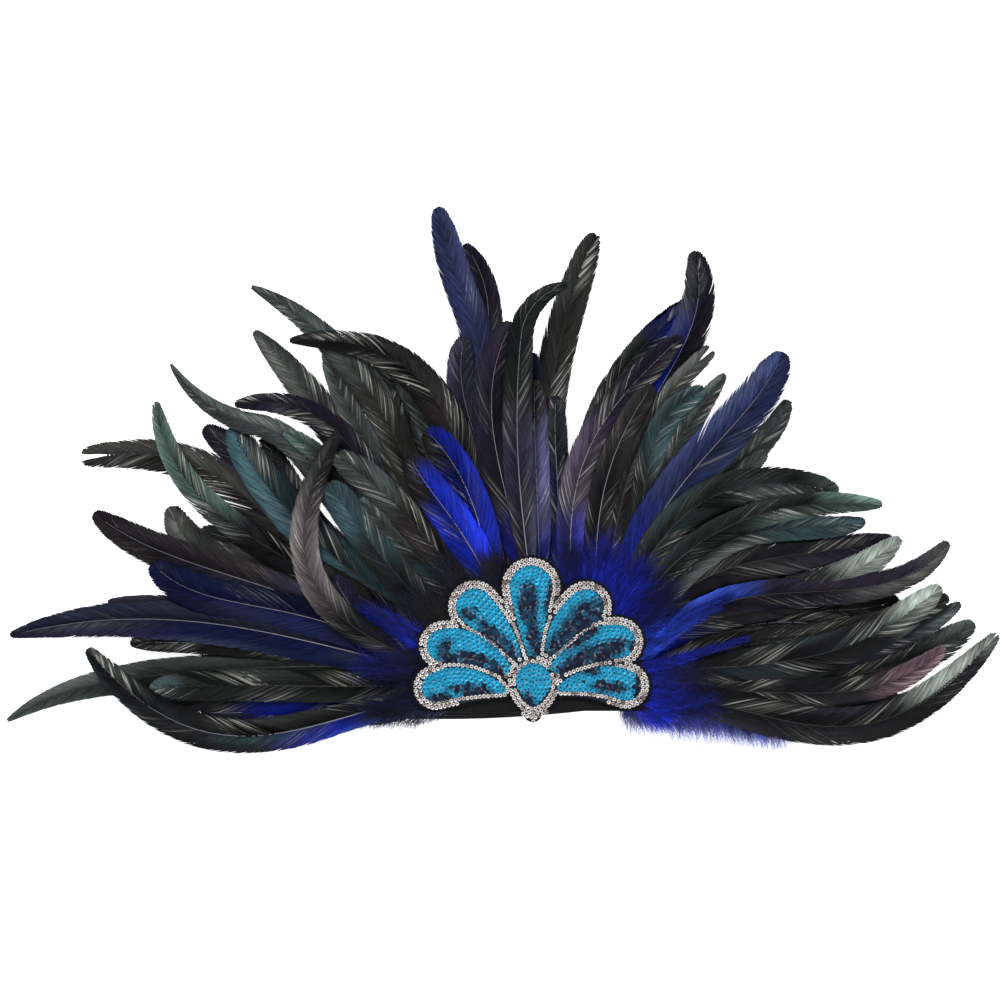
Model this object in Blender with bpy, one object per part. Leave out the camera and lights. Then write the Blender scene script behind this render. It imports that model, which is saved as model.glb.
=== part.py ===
"""Showgirl feather headdress, lying on its back with the sequinned palmette upwards.

An elastic head band carries a stack of half-round felt bases. Each base holds one row of dyed
cock tail feathers, tufts of down close the stack below and above, and a palmette of seven
petals and a drop covers the roots. Tables are in millimetres, the model is in metres.
X runs along the head band, Y towards the crown of feathers, Z up from the surface.
"""
import math
from collections import namedtuple

import bmesh
import bpy
from mathutils import Vector

MM = 0.001

# Elastic head band, a flattened loop
BAND_WIDTH = 250.0
BAND_DEPTH = 38.0
BAND_WALL = 1.6
BAND_HOLLOW = 10.0
BAND_BEND_RADIUS = 690.0
BAND_LOW_X = -55.0
BAND_STEPS = 16
BAND_END_STEPS = 6

# Felt bases, one for each row, and the way the rows fan out from them
GAP = 0.3
BASE_THICK = 1.0
BASE_CENTRE = (-3.0, -12.0)
BASE_RADII = (63.0, 66.0)
BASE_LOW_Y = -16.0
BASE_POINTS = 24
ROW_PITCH = BASE_THICK + GAP
FAN_PITCH = 2.8
FLAT_HALF_X = 125.0
FLAT_LOW_Y = -20.0
FLAT_HIGH_Y = 54.0
FAN_REACH = 150.0
FEATHER_ROWS = 11

# Feathers
FEATHER_HALF_THICK = 0.4
QUILL_HALF_WIDTH = 1.6
QUILL_HALF_THICK = 0.3
ROOT_INSET = 2.0
ROOT_REACH = 12.0
CURL_START = 0.8
PATH_STEPS = 80
# Share of the free length, and the share of the full width there with a round and a sharp end
FEATHER_SHAPE = ((0.15, 0.62, 0.66), (0.33, 1.0, 1.0), (0.50, 1.0, 1.0), (0.66, 1.0, 0.94),
                 (0.80, 0.97, 0.72), (0.90, 0.86, 0.46), (0.96, 0.64, 0.25), (1.0, 0.20, 0.06))
DOWN_SHAPE = ((0.12, 0.75, 0.75), (0.35, 1.0, 1.0), (0.60, 0.9, 0.9), (0.82, 0.6, 0.6),
              (1.0, 0.14, 0.14))

# Palmette
BACKING_THICK = 1.5
BACKING_RIM = 1.3
FRAME_THICK = 1.0
FRAME_RIM = (5.0, 3.9, 2.9)
PETAL_EDGE = 0.8
PETAL_RISE = 1.0
PETAL_INSET = 2.2
OUTLINE_STEPS = 7
CAP_STEPS = 6

# Root and tip are where the shaft starts and ends, the three bows are its sideways distances
# from the straight line at a quarter, a half and three quarters, to the left positive, curl
# turns the last fifth by that many degrees, width is the vane's full width, and point says how
# pointed its end is, from 0 for a round one to 1.
Feather = namedtuple(
    "Feather", "row root_x root_y tip_x tip_y bow_1 bow_2 bow_3 curl width point")
FEATHERS = [Feather(*line) for line in (
    # left side, from the lowest feather upwards
    (1, -61, -8, -187, -17, 1, 1, 2, 0, 18.5, 0.0),
    (2, -61, -6, -232, -10, 2, 3, 1, 0, 16.5, 0.0),
    (5, -61, -2, -215, -5, 0, -1, -2, 0, 18.5, 0.0),
    (6, -61, -10, -249, 18, 18, 34.5, 30.5, 0, 19.5, 0.4),
    (3, -61, 1, -294, -22.5, -13, -16.5, -16, 0, 19.0, 0.9),
    (4, -61, 4, -226, 21, -3, -5, -4, 0, 13.0, 0.0),
    (5, -61, 6, -292, 25, -9, -15.5, -13.5, 0, 24.0, 0.8),
    (1, -61, 8, -239, 43, -7, -9.5, -6.5, 0, 13.5, 0.3),
    (6, -61, 10, -213.5, 65, -2, 0, 6, 0, 22.0, 0.0),
    (2, -61, 15, -199, 65, -4, -8, -6, 0, 19.0, 0.0),
    (4, -59, 12, -246, 92.5, -2.5, 0, 4.5, 0, 22.5, 0.3),
    (3, -59, 17, -203, 96.5, -1, 0, 12, 0, 21.0, 0.0),
    (1, -59, 20, -187, 83, -4, -8, -6, 0, 15.5, 0.0),
    (5, -58, 21, -250, 110, -9.5, -22.5, -33.5, -24, 21.0, 0.2),
    (7, -59, 23, -211, 154, 9.5, 20.5, 23.5, 0, 16.0, 0.4),
    (4, -58, 25, -185.5, 139.5, 1, 1, -1, 0, 19.0, 0.0),
    (6, -56, 26, -170, 140, 7, 11, 9, 0, 22.0, 0.0),
    (2, -54, 28, -153, 134, 7, 12, 8, 0, 14.5, 0.0),
    (7, -55, 28, -211, 122, -15, -34.5, -46.5, -92, 15.5, 0.9),
    (8, -48, 29, -141, 137, -1, -4, -7, 0, 12.0, 0.0),
    (8, -33, 17, -168, 152, -11, -22, -29, 0, 16.0, 0.4),
    (2, -41, 30, -158, 193, 0, -4, -4.5, 0, 22.5, 0.7),
    (6, -33, 23, -159, 217, -10.5, -21, -21, 0, 18.0, 0.8),
    (7, -16, 28, -138, 187, -21.5, -39.5, -42, 0, 21.0, 0.8),
    (3, -35, 31, -118, 183, 1, 4, 5, 0, 14.0, 0.0),
    (5, -31, 30, -107, 179, 2, 2, -3, 0, 19.0, 0.0),
    (4, -28, 31, -82, 160, 6, 9, 7, 0, 14.0, 0.0),
    (2, -23, 31, -73, 163, -1, -2, -3, 0, 16.5, 0.0),
    (1, -28, 31, -92, 182, -3, -4, -4, 0, 15.5, 0.0),
    (1, -43, 29, -120, 155, -3, -3, -2, 0, 15.5, 0.0),
    # shorter ones in front on the left
    (11, -66, 12, -110, 138, 31, 41, 30, 0, 16.5, 0.6),
    (10, -50, 28, -116, 109, 2, 3, 2, 0, 19.0, 0.0),
    (10, -24, 32, -113, 124, -4, -5, -5, 0, 19.0, 0.0),
    (9, -29, 28, -99, 100, -2, -1, 0, 0, 19.0, 0.0),
    (9, -19, 30, -63, 138, -4, -8, -8, 0, 20.0, 0.0),
    (11, -15, 29, -72, 124, -2, -3, -1, 0, 22.0, 0.2),
    (8, -66, 12, -113, 58, 6, 7, 5, 0, 18.5, 0.3),
    # top
    (2, -6, 23, -78, 247.5, -7, -15, -24, -50, 19.0, 0.0),
    (1, -11, 23, -42, 241, 4, 5, -6, 0, 17.5, 0.3),
    (3, -8, 23, -41, 190, 1, 2, 7, 0, 18.0, 0.0),
    (8, -6, 23, -15, 197, 2, 10, 14, 0, 22.0, 0.0),
    (9, -3, 34, -6, 230, 5, 8, 6, -70, 17.0, 0.6),
    (2, 8, 23, 30.5, 247, 10, 16, 12.5, 0, 20.0, 0.1),
    (4, 2, 28, -3, 166, 1, 1, 1, 0, 15.5, 0.0),
    (3, -4, 28, -4, 181, 1, 2, 2, 0, 14.5, 0.0),
    (3, 12, 28, 9, 157, 0, 0, 1, 0, 14.5, 0.0),
    (5, 16, 28, 78, 190, 16, 25.5, 18.5, 0, 19.0, 0.3),
    (1, 24, 28, 84, 210, 16, 28, 23, 0, 15.5, 0.0),
    (3, 33, 28, 84.5, 237, 12, 8, -7, 0, 23.0, 0.2),
    (4, 32, 29, 95, 183, 9, 16, 14, 0, 13.0, 0.0),
    (5, 29, 28, 62, 163, 7, 12, 10, 0, 15.5, 0.0),
    (2, 22, 28, 45, 141, 4, 6, 5, 0, 14.5, 0.0),
    (6, 40, 29, 91, 160.5, 5, 10, 15, 0, 15.5, 0.0),
    (5, 42, 23, 102, 169, 8, 12, 9, 0, 17.5, 0.6),
    (7, 37, 28, 133.5, 181, 8, 8, 1, 0, 26.0, 0.1),
    (1, 47, 28, 137, 155, 6, 7, 0, 0, 14.5, 0.0),
    (2, 47, 25, 125, 126, 5, 9, 7, 0, 13.0, 0.0),
    # right side, from the highest feather downwards
    (8, 33, 17, 164, 104, 22, 36, 30, 0, 21.0, 0.2),
    (9, 44, 23, 188, 97, 22, 28, 20, 0, 15.5, 0.4),
    (6, 50, 23, 179, 88, 16, 24, 14, 0, 15.0, 0.2),
    (4, 44, 23, 121, 105, 13, 20, 14, 0, 16.5, 0.0),
    (3, 44, 23, 143, 89, 15, 22, 17, 0, 16.5, 0.0),
    (5, 55, 23, 194, 79, 17, 16, 7, 0, 22.0, 0.6),
    (4, 52, 23, 165, 80, 18, 27, 19, 0, 16.5, 0.0),
    (6, 61, 17, 198, 79, 4, -3, -7, 0, 22.0, 0.5),
    (7, 55, 9, 224, 77, 15, 6, -8, 0, 17.0, 0.3),
    (1, 55, 17, 176, 45, 17, 25, 17, 0, 16.5, 0.0),
    (2, 59, 9, 198, 45, 11, 11, 3, 0, 16.5, 0.0),
    (9, 59, 4, 224, 47, 3, -2, -6, 0, 16.5, 0.0),
    (10, 55, 3, 219.5, 52.5, -8, -16, -15, 0, 22.0, 0.3),
    (8, 55, 3, 231, 43, -6, -12, -12, 0, 16.0, 0.4),
    (6, 59, 3, 215, 34, 4, 1, 1, 0, 15.5, 0.0),
    (7, 55, 1, 238.5, 32.5, -8, -16, -16, 0, 22.0, 0.2),
    (3, 59, 6, 212, 23, 15, 18, 9, 0, 16.5, 0.0),
    (5, 58, 5, 182, 23, 7, 8, 4, 0, 18.5, 0.0),
    (4, 58, -2, 215, 17, 0, -3, -6, 0, 16.5, 0.0),
    (9, 55, -2, 222, 19, -8, -15, -17, 0, 16.5, 0.3),
    (1, 58, -5, 201, -10, -4, -8, -8, 0, 16.5, 0.0),
    (2, 58, -8, 215, -7, -6, -11, -11, 0, 15.5, 0.0),
    (10, 63, -9, 250.5, 26.5, -16.5, -34, -29.5, 0, 22.0, 0.6),
)]

# Tufts of down: start, heading in degrees, reach and full width
Tuft = namedtuple("Tuft", "x y heading reach width")
UPPER_TUFTS = [Tuft(*line) for line in (
    (50, -9, -9, 42, 15), (54, 4, 8, 62, 17), (49, 17, 26, 66, 19), (41, 29, 44, 44, 16),
    (31, 38, 62, 34, 14), (20, 46, 82, 24, 13), (-22, 47, 105, 20, 13), (-38, 40, 124, 30, 14),
    (-50, 29, 143, 30, 15), (-58, 15, 160, 42, 17), (-60, 0, 176, 46, 17), (-55, -11, 192, 40, 15),
)]
LOWER_TUFTS = [Tuft(*line) for line in (
    (-46, -12, 190, 44, 14), (-57, -9, 187, 84, 14),
    (57, -6, -4, 84, 16), (50, -12, -10, 82, 14), (42, -12, -18, 34, 12),
)]

# Palmette: each petal runs round three circles, at its outer end, its waist and its foot
Petal = namedtuple("Petal", "end_x end_y end_r waist_x waist_y waist_r foot_x foot_y foot_r")
PETALS = [Petal(*line) for line in (
    (-57, -3, 7.7, -40, 0, 7.4, -21, -4, 2.0),
    (-53, 20, 8.8, -37, 18, 8.2, -20, 8, 3.8),
    (-36, 41, 9.9, -24, 29, 7.4, -14, 16, 3.3),
    (-5, 52, 11.5, -5, 35, 8.0, -4, 17, 3.3),
    (25, 41, 9.6, 14, 30, 8.0, 6, 18, 3.3),
    (43, 22, 8.8, 27, 19, 8.5, 9, 8, 3.3),
    (47, -2, 8.0, 31, 1, 7.0, 12, -3, 2.2),
)]
DROP = Petal(-3, 1, 9.6, -3, -7, 7.2, -4, -17, 1.0)


def row_height(x, y, row):
    """Height of a row's middle plane: level over the band and bases, fanned out beyond them."""
    aside = max(abs(x) - FLAT_HALF_X, 0.0)
    beyond = max(y - FLAT_HIGH_Y, FLAT_LOW_Y - y, 0.0)
    share = min(math.hypot(aside, beyond) / FAN_REACH, 1.0)
    share = share * share * (3.0 - 2.0 * share)
    band_top = 2.0 * BAND_WALL + BAND_HOLLOW
    level = band_top + GAP + BASE_THICK / 2.0 + row * ROW_PITCH
    spread = FEATHER_HALF_THICK + (row - 1) * FAN_PITCH
    return level + (spread - level) * share


def band_bend(x):
    """How far the band's middle line lies above its height at x = 0."""
    return ((x - BAND_LOW_X) ** 2 - BAND_LOW_X ** 2) / (2.0 * BAND_BEND_RADIUS)


def feather_path(feather):
    """Points along the shaft: a smooth line through root, three bows and tip, then the curl."""
    root = Vector((feather.root_x, feather.root_y))
    tip = Vector((feather.tip_x, feather.tip_y))
    chord = tip - root
    side = Vector((-chord.y, chord.x)).normalized()
    knots = (0.0, 0.25, 0.5, 0.75, 1.0)
    bows = (0.0, feather.bow_1, feather.bow_2, feather.bow_3, 0.0)
    through = [root + chord * knot + side * bow for knot, bow in zip(knots, bows)]
    points = []
    for step in range(PATH_STEPS + 1):
        t = step / PATH_STEPS
        point = Vector((0.0, 0.0))
        for i, target in enumerate(through):
            weight = 1.0
            for j, knot in enumerate(knots):
                if j != i:
                    weight *= (t - knot) / (knots[i] - knot)
            point += target * weight
        points.append(point)
    quill = points[0] - (points[1] - points[0]).normalized() * ROOT_REACH
    return [quill] + curl_end(points, feather.curl)


def curl_end(points, degrees):
    """Turn the last part of a path little by little, up to the given angle."""
    turned = [points[0]]
    for step in range(1, len(points)):
        share = max((step / PATH_STEPS - CURL_START) / (1.0 - CURL_START), 0.0)
        angle = math.radians(degrees) * share
        dx, dy = points[step] - points[step - 1]
        turned.append(turned[-1] + Vector((dx * math.cos(angle) - dy * math.sin(angle),
                                           dx * math.sin(angle) + dy * math.cos(angle))))
    return turned


def inside_base(point):
    """True where a point lies over the felt base."""
    across = (point.x - BASE_CENTRE[0]) / BASE_RADII[0]
    along = (point.y - BASE_CENTRE[1]) / BASE_RADII[1]
    return point.y > BASE_LOW_Y and across * across + along * along < 1.0


def read_path(points, lengths, distance):
    """Point and direction at a distance along a path."""
    last = len(points) - 1
    index = 1
    while index < last and lengths[index] < distance:
        index += 1
    start, end = points[index - 1], points[index]
    share = (distance - lengths[index - 1]) / (lengths[index] - lengths[index - 1])
    return start.lerp(end, share), (end - start).normalized()


def blade_stations(points, shape, width, pointed=0.0):
    """Stations from just inside the base's edge to the tip: point, direction, half width."""
    lengths = [0.0]
    for start, end in zip(points, points[1:]):
        lengths.append(lengths[-1] + (end - start).length)
    edge = max((lengths[i] for i, point in enumerate(points) if inside_base(point)), default=0.0)
    free = lengths[-1] - edge
    stations = [(*read_path(points, lengths, max(edge - ROOT_INSET, 0.0)), QUILL_HALF_WIDTH)]
    for share, round_part, sharp_part in shape:
        part = round_part + (sharp_part - round_part) * pointed
        stations.append((*read_path(points, lengths, edge + share * free), part * width / 2.0))
    return stations


def add_blade(bm, stations, row):
    """One feather or tuft as a closed blade with a flat diamond section."""
    rings = []
    for index, (point, heading, half_width) in enumerate(stations):
        side = Vector((-heading.y, heading.x)) * half_width
        ends = index in (0, len(stations) - 1)
        half_thick = QUILL_HALF_THICK if ends else FEATHER_HALF_THICK
        ring = []
        for across, rise in ((1.0, 0.0), (0.0, half_thick), (-1.0, 0.0), (0.0, -half_thick)):
            x, y = point + side * across
            ring.append(bm.verts.new(Vector((x, y, row_height(x, y, row) + rise)) * MM))
        rings.append(ring)
    for ring, following in zip(rings, rings[1:]):
        for i in range(4):
            j = (i + 1) % 4
            bm.faces.new((ring[i], ring[j], following[j], following[i]))
    bm.faces.new(reversed(rings[0]))
    bm.faces.new(rings[-1])


def mesh_object(name, bm, material=None):
    """An object from a bmesh, with its faces turned outwards."""
    bmesh.ops.recalc_face_normals(bm, faces=bm.faces)
    mesh = bpy.data.meshes.new(name)
    bm.to_mesh(mesh)
    bm.free()
    item = bpy.data.objects.new(name, mesh)
    bpy.context.scene.collection.objects.link(item)
    if material:
        mesh.materials.append(material)
    return item


def as_cutter(item):
    """Mark an object that only serves a Boolean."""
    item.hide_render = True
    item.display_type = "WIRE"
    return item


def add_boolean(item, other, operation):
    """Join or cut an item by another one."""
    step = item.modifiers.new(operation.lower(), "BOOLEAN")
    step.operation = operation
    step.solver = "EXACT"
    step.use_self = operation == "UNION"
    step.object = as_cutter(other)


def extrude_outline(name, outline, low, high, material=None):
    """A plate with the given outline between two heights."""
    bm = bmesh.new()
    face = bm.faces.new([bm.verts.new(Vector((x, y, low)) * MM) for x, y in outline])
    grown = bmesh.ops.extrude_face_region(bm, geom=[face])
    top = [part for part in grown["geom"] if isinstance(part, bmesh.types.BMVert)]
    bmesh.ops.translate(bm, verts=top, vec=(0.0, 0.0, (high - low) * MM))
    return mesh_object(name, bm, material)


def base_outline():
    """Half-round outline of a felt base, straight along its lower edge."""
    low_turn = math.asin((BASE_LOW_Y - BASE_CENTRE[1]) / BASE_RADII[1])
    sweep = math.pi - 2.0 * low_turn
    outline = []
    for step in range(BASE_POINTS + 1):
        angle = low_turn + sweep * step / BASE_POINTS
        outline.append((BASE_CENTRE[0] + BASE_RADII[0] * math.cos(angle),
                        BASE_CENTRE[1] + BASE_RADII[1] * math.sin(angle)))
    return outline


def make_row(name, row, blades, material):
    """A felt base with its feathers or tufts fused to it."""
    middle = row_height(0.0, 0.0, row)
    base = extrude_outline(name, base_outline(), middle - BASE_THICK / 2.0,
                           middle + BASE_THICK / 2.0, material)
    bm = bmesh.new()
    for stations in blades:
        add_blade(bm, stations, row)
    add_boolean(base, mesh_object(name + "_blades", bm), "UNION")
    return base


def tuft_stations(tuft):
    """Stations of a straight tuft."""
    start = Vector((tuft.x, tuft.y))
    heading = Vector((math.cos(math.radians(tuft.heading)), math.sin(math.radians(tuft.heading))))
    points = [start + heading * 2.0 * step for step in range(PATH_STEPS + 1)]
    edge = max((step for step, point in enumerate(points) if inside_base(point)), default=0)
    last = edge + max(int(tuft.reach / 2.0), 1)
    return blade_stations(points[:last + 1], DOWN_SHAPE, tuft.width)


def petal_outline(petal, rim=(0.0, 0.0, 0.0)):
    """Outline round a petal's three circles, each grown by its own rim."""
    centres = [Vector((petal.end_x, petal.end_y)), Vector((petal.waist_x, petal.waist_y)),
               Vector((petal.foot_x, petal.foot_y))]
    radii = [petal.end_r + rim[0], petal.waist_r + rim[1], petal.foot_r + rim[2]]
    left, right = [], []
    for step in range(OUTLINE_STEPS):
        t = step / (OUTLINE_STEPS - 1)
        weights = ((1.0 - t) * (1.0 - 2.0 * t), 4.0 * t * (1.0 - t), t * (2.0 * t - 1.0))
        slopes = (4.0 * t - 3.0, 4.0 - 8.0 * t, 4.0 * t - 1.0)
        point = sum((c * w for c, w in zip(centres, weights)), Vector((0.0, 0.0)))
        heading = sum((c * s for c, s in zip(centres, slopes)), Vector((0.0, 0.0))).normalized()
        radius = sum(r * w for r, w in zip(radii, weights))
        side = Vector((-heading.y, heading.x)) * radius
        left.append(point + side)
        right.append(point - side)
    end_cap = cap_points(centres[0], right[0], left[0])
    foot_cap = cap_points(centres[2], left[-1], right[-1])
    return end_cap + left + foot_cap + right[::-1]


def cap_points(centre, start, end):
    """Points of a half circle from start to end, clockwise, without its two ends."""
    arm = start - centre
    points = []
    for step in range(1, CAP_STEPS):
        angle = -math.pi * step / CAP_STEPS
        points.append(centre + Vector((arm.x * math.cos(angle) - arm.y * math.sin(angle),
                                       arm.x * math.sin(angle) + arm.y * math.cos(angle))))
    return points


def make_material(name, colour, roughness):
    """A plain Principled material."""
    material = bpy.data.materials.new(name)
    material.use_nodes = True
    shader = material.node_tree.nodes["Principled BSDF"]
    shader.inputs["Base Color"].default_value = (*colour, 1.0)
    shader.inputs["Roughness"].default_value = roughness
    shader.inputs["Metallic"].default_value = 0.0
    return material


def loop_section(inset):
    """Closed loop of the band in X and Z, shrunk by an inset from its outer face."""
    height = 2.0 * BAND_WALL + BAND_HOLLOW
    centre = height / 2.0
    radius = centre - inset
    straight = BAND_WIDTH / 2.0 - centre
    points = []
    for step in range(BAND_STEPS + 1):
        points.append((-straight + 2.0 * straight * step / BAND_STEPS, inset))
    for step in range(1, BAND_END_STEPS):
        angle = math.pi * (step / BAND_END_STEPS - 0.5)
        points.append((straight + radius * math.cos(angle), centre + radius * math.sin(angle)))
    for step in range(BAND_STEPS + 1):
        points.append((straight - 2.0 * straight * step / BAND_STEPS, height - inset))
    for step in range(1, BAND_END_STEPS):
        angle = math.pi * (step / BAND_END_STEPS + 0.5)
        points.append((-straight + radius * math.cos(angle), centre + radius * math.sin(angle)))
    return points


def make_band(material):
    """The elastic loop: an outer and an inner skin joined along both edges."""
    bm = bmesh.new()
    rings = []
    for inset, edge in ((0.0, -1.0), (0.0, 1.0), (BAND_WALL, 1.0), (BAND_WALL, -1.0)):
        ring = []
        for x, z in loop_section(inset):
            y = edge * BAND_DEPTH / 2.0 + band_bend(x)
            ring.append(bm.verts.new(Vector((x, y, z)) * MM))
        rings.append(ring)
    count = len(rings[0])
    for ring, following in zip(rings, rings[1:] + rings[:1]):
        for i in range(count):
            j = (i + 1) % count
            bm.faces.new((ring[i], ring[j], following[j], following[i]))
    return mesh_object("head_band", bm, material)


def make_backing(low, material):
    """Black backing of the palmette, a little larger than the sequins all round."""
    rim = [width + BACKING_RIM for width in FRAME_RIM]
    high = low + BACKING_THICK
    backing = extrude_outline("applique_backing", petal_outline(DROP, rim), low, high, material)
    for index, petal in enumerate(PETALS):
        lobe = extrude_outline(f"backing_lobe_{index}", petal_outline(petal, rim), low, high)
        add_boolean(backing, lobe, "UNION")
    return backing


def make_frame(low, material):
    """Silver border round the petals and the drop, with an opening for each."""
    high = low + FRAME_THICK
    frame = extrude_outline("silver_border", petal_outline(DROP, FRAME_RIM), low, high, material)
    for index, petal in enumerate(PETALS):
        lobe = extrude_outline(f"border_lobe_{index}", petal_outline(petal, FRAME_RIM), low, high)
        add_boolean(frame, lobe, "UNION")
    for index, petal in enumerate([*PETALS, DROP]):
        hole = extrude_outline(f"border_hole_{index}", petal_outline(petal, (GAP, GAP, GAP)),
                               low - 1.0, high + 1.0)
        add_boolean(frame, hole, "DIFFERENCE")
    return frame


def make_petal(name, petal, low, material):
    """A field of sequins: a low cushion with the petal's outline."""
    bm = bmesh.new()
    outline = petal_outline(petal)
    shrink = (-PETAL_INSET, -PETAL_INSET, -min(PETAL_INSET, petal.foot_r * 0.6))
    top_outline = petal_outline(petal, shrink)
    rings = []
    for points, height in ((outline, 0.0), (outline, PETAL_EDGE), (top_outline, PETAL_RISE)):
        rings.append([bm.verts.new(Vector((x, y, low + height)) * MM) for x, y in points])
    for ring, following in zip(rings, rings[1:]):
        for i in range(len(ring)):
            j = (i + 1) % len(ring)
            bm.faces.new((ring[i], ring[j], following[j], following[i]))
    bm.faces.new(rings[0])
    bm.faces.new(rings[-1])
    return mesh_object(name, bm, material)


def main():
    for old in list(bpy.data.objects):
        bpy.data.objects.remove(old)
    elastic = make_material("black_elastic", (0.012, 0.012, 0.013), 0.8)
    feather = make_material("dyed_feather", (0.02, 0.035, 0.045), 0.45)
    down = make_material("blue_down", (0.02, 0.05, 0.35), 0.9)
    felt = make_material("black_felt", (0.01, 0.01, 0.011), 0.95)
    silver = make_material("silver_sequins", (0.75, 0.73, 0.72), 0.3)
    turquoise = make_material("turquoise_sequins", (0.03, 0.32, 0.60), 0.3)

    make_band(elastic)
    make_row("down_lower", 0, [tuft_stations(tuft) for tuft in LOWER_TUFTS], down)
    for row in range(1, FEATHER_ROWS + 1):
        blades = [blade_stations(feather_path(item), FEATHER_SHAPE, item.width, item.point)
                  for item in FEATHERS if item.row == row]
        make_row(f"feather_row_{row:02d}", row, blades, feather)
    top_row = FEATHER_ROWS + 1
    make_row("down_upper", top_row, [tuft_stations(tuft) for tuft in UPPER_TUFTS], down)

    backing_low = row_height(0.0, 0.0, top_row) + BASE_THICK / 2.0 + GAP
    make_backing(backing_low, felt)
    sequins_low = backing_low + BACKING_THICK + GAP
    make_frame(sequins_low, silver)
    for index, petal in enumerate(PETALS):
        make_petal(f"petal_{index + 1}", petal, sequins_low, turquoise)
    make_petal("centre_drop", DROP, sequins_low, turquoise)


main()
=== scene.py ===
# %% [markdown]
# # Showgirl feather headdress
#
# A fan of dyed cock tail feathers lies on its back on a pale floor. Its roots are glued to
# half-round felt bases on an elastic head band, and a palmette of turquoise and silver sequins
# covers them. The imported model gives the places, and this script gives every piece its looks.

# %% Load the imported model
import math
from collections import namedtuple
from functools import partial

import bpy
import numpy as np
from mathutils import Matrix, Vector


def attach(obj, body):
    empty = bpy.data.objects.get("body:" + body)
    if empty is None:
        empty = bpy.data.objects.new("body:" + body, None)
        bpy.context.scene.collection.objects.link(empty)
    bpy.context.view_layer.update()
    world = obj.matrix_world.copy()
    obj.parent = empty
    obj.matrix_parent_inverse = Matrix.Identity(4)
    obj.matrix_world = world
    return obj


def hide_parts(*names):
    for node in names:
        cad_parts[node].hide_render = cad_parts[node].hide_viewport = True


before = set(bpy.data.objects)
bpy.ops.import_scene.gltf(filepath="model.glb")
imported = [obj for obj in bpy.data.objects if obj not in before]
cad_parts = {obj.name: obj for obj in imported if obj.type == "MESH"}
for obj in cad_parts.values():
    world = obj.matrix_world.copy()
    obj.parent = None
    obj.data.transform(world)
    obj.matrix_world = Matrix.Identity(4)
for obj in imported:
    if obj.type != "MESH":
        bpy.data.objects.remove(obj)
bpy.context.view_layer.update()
MM = 0.001
print("loaded", len(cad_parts), "nodes")

# %% [markdown]
# Three small helpers serve the whole script. Colours are written as sRGB hex values, as a dyer's
# chart gives them, and Blender wants them linear. A node is added with its settings and links in
# one call, which keeps each material readable. A measured mesh is filled from arrays in one go.


# %% Helpers for colours, nodes and meshes
def to_linear(hex_code):
    """sRGB hex to a linear RGBA tuple."""
    parts = [int(hex_code[i:i + 2], 16) / 255.0 for i in (1, 3, 5)]
    return tuple(p / 12.92 if p <= 0.04045 else ((p + 0.055) / 1.055) ** 2.4 for p in parts) + (1.0,)


def add_node(tree, kind, inputs=None, **settings):
    """Add a node. Settings are its properties, inputs are values or the sockets linked to it."""
    node = tree.nodes.new(kind)
    for key, value in settings.items():
        setattr(node, key, value)
    for key, value in (inputs or {}).items():
        if isinstance(value, bpy.types.NodeSocket):
            tree.links.new(value, node.inputs[key])
        else:
            node.inputs[key].default_value = value
    return node


def new_material(name, **constants):
    """A Principled material with the given values on the shader's own sockets."""
    material = bpy.data.materials.new(name)
    material.use_nodes = True
    shader = material.node_tree.nodes["Principled BSDF"]
    for key, value in constants.items():
        shader.inputs[key.replace("_", " ")].default_value = value
    return material, material.node_tree, shader


def points_of(mesh):
    """Vertex places of a mesh as an array."""
    places = np.empty(len(mesh.vertices) * 3)
    mesh.vertices.foreach_get("co", places)
    return places.reshape(-1, 3)


# %% [markdown]
# The photograph looks straight down on the headdress with a long lens. One photo pixel is
# 0.55 mm on the feathers, so 1000 pixels are 550 mm, and a 200 mm lens sees that from 3.06 m.

# %% Camera
FRAME_SIDE = 0.550            # side of the picture at the feathers, in m
FRAME_CENTRE = (-0.022, 0.0995)  # what the camera looks at, in m
FEATHER_LEVEL = 0.015         # height at which the picture is that wide, in m
LENS = 200.0                  # in mm
SENSOR = 36.0                 # in mm
camera_data = bpy.data.cameras.new("camera")
camera_data.lens = LENS
camera_data.sensor_width = SENSOR
camera_data.clip_end = 50.0
camera = bpy.data.objects.new("camera", camera_data)
camera.location = (*FRAME_CENTRE, FEATHER_LEVEL + FRAME_SIDE * LENS / SENSOR)
bpy.context.scene.collection.objects.link(camera)
bpy.context.scene.camera = camera
print("camera", round(camera.location.z, 3), "m above the floor")

# %% [markdown]
# The headdress is photographed on white acrylic that is lit a little from below, so that it
# throws hardly a shadow. The world gives the even light of a tent, one area light is the main
# softbox, and two weaker ones fill the sides. They stand well off the camera's axis, so a level
# feather stays dark and only the slopes of its barbs catch a highlight.

# %% Floor and lights
FLOOR_SIZE = 8.0              # in m
TENT_STRENGTH = 0.12
Softbox = namedtuple("Softbox", "name x y z size watts")
SOFTBOXES = (
    Softbox("key_softbox", -0.9, 1.3, 1.7, 1.0, 36.0),
    Softbox("right_softbox", 1.5, 0.3, 1.3, 0.9, 18.0),
    Softbox("front_softbox", 0.2, -1.3, 1.5, 1.2, 14.0),
)
bpy.ops.mesh.primitive_plane_add(size=FLOOR_SIZE, location=(0.0, 0.0, 0.0))
floor = bpy.context.object
floor.name = "light_table"
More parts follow.
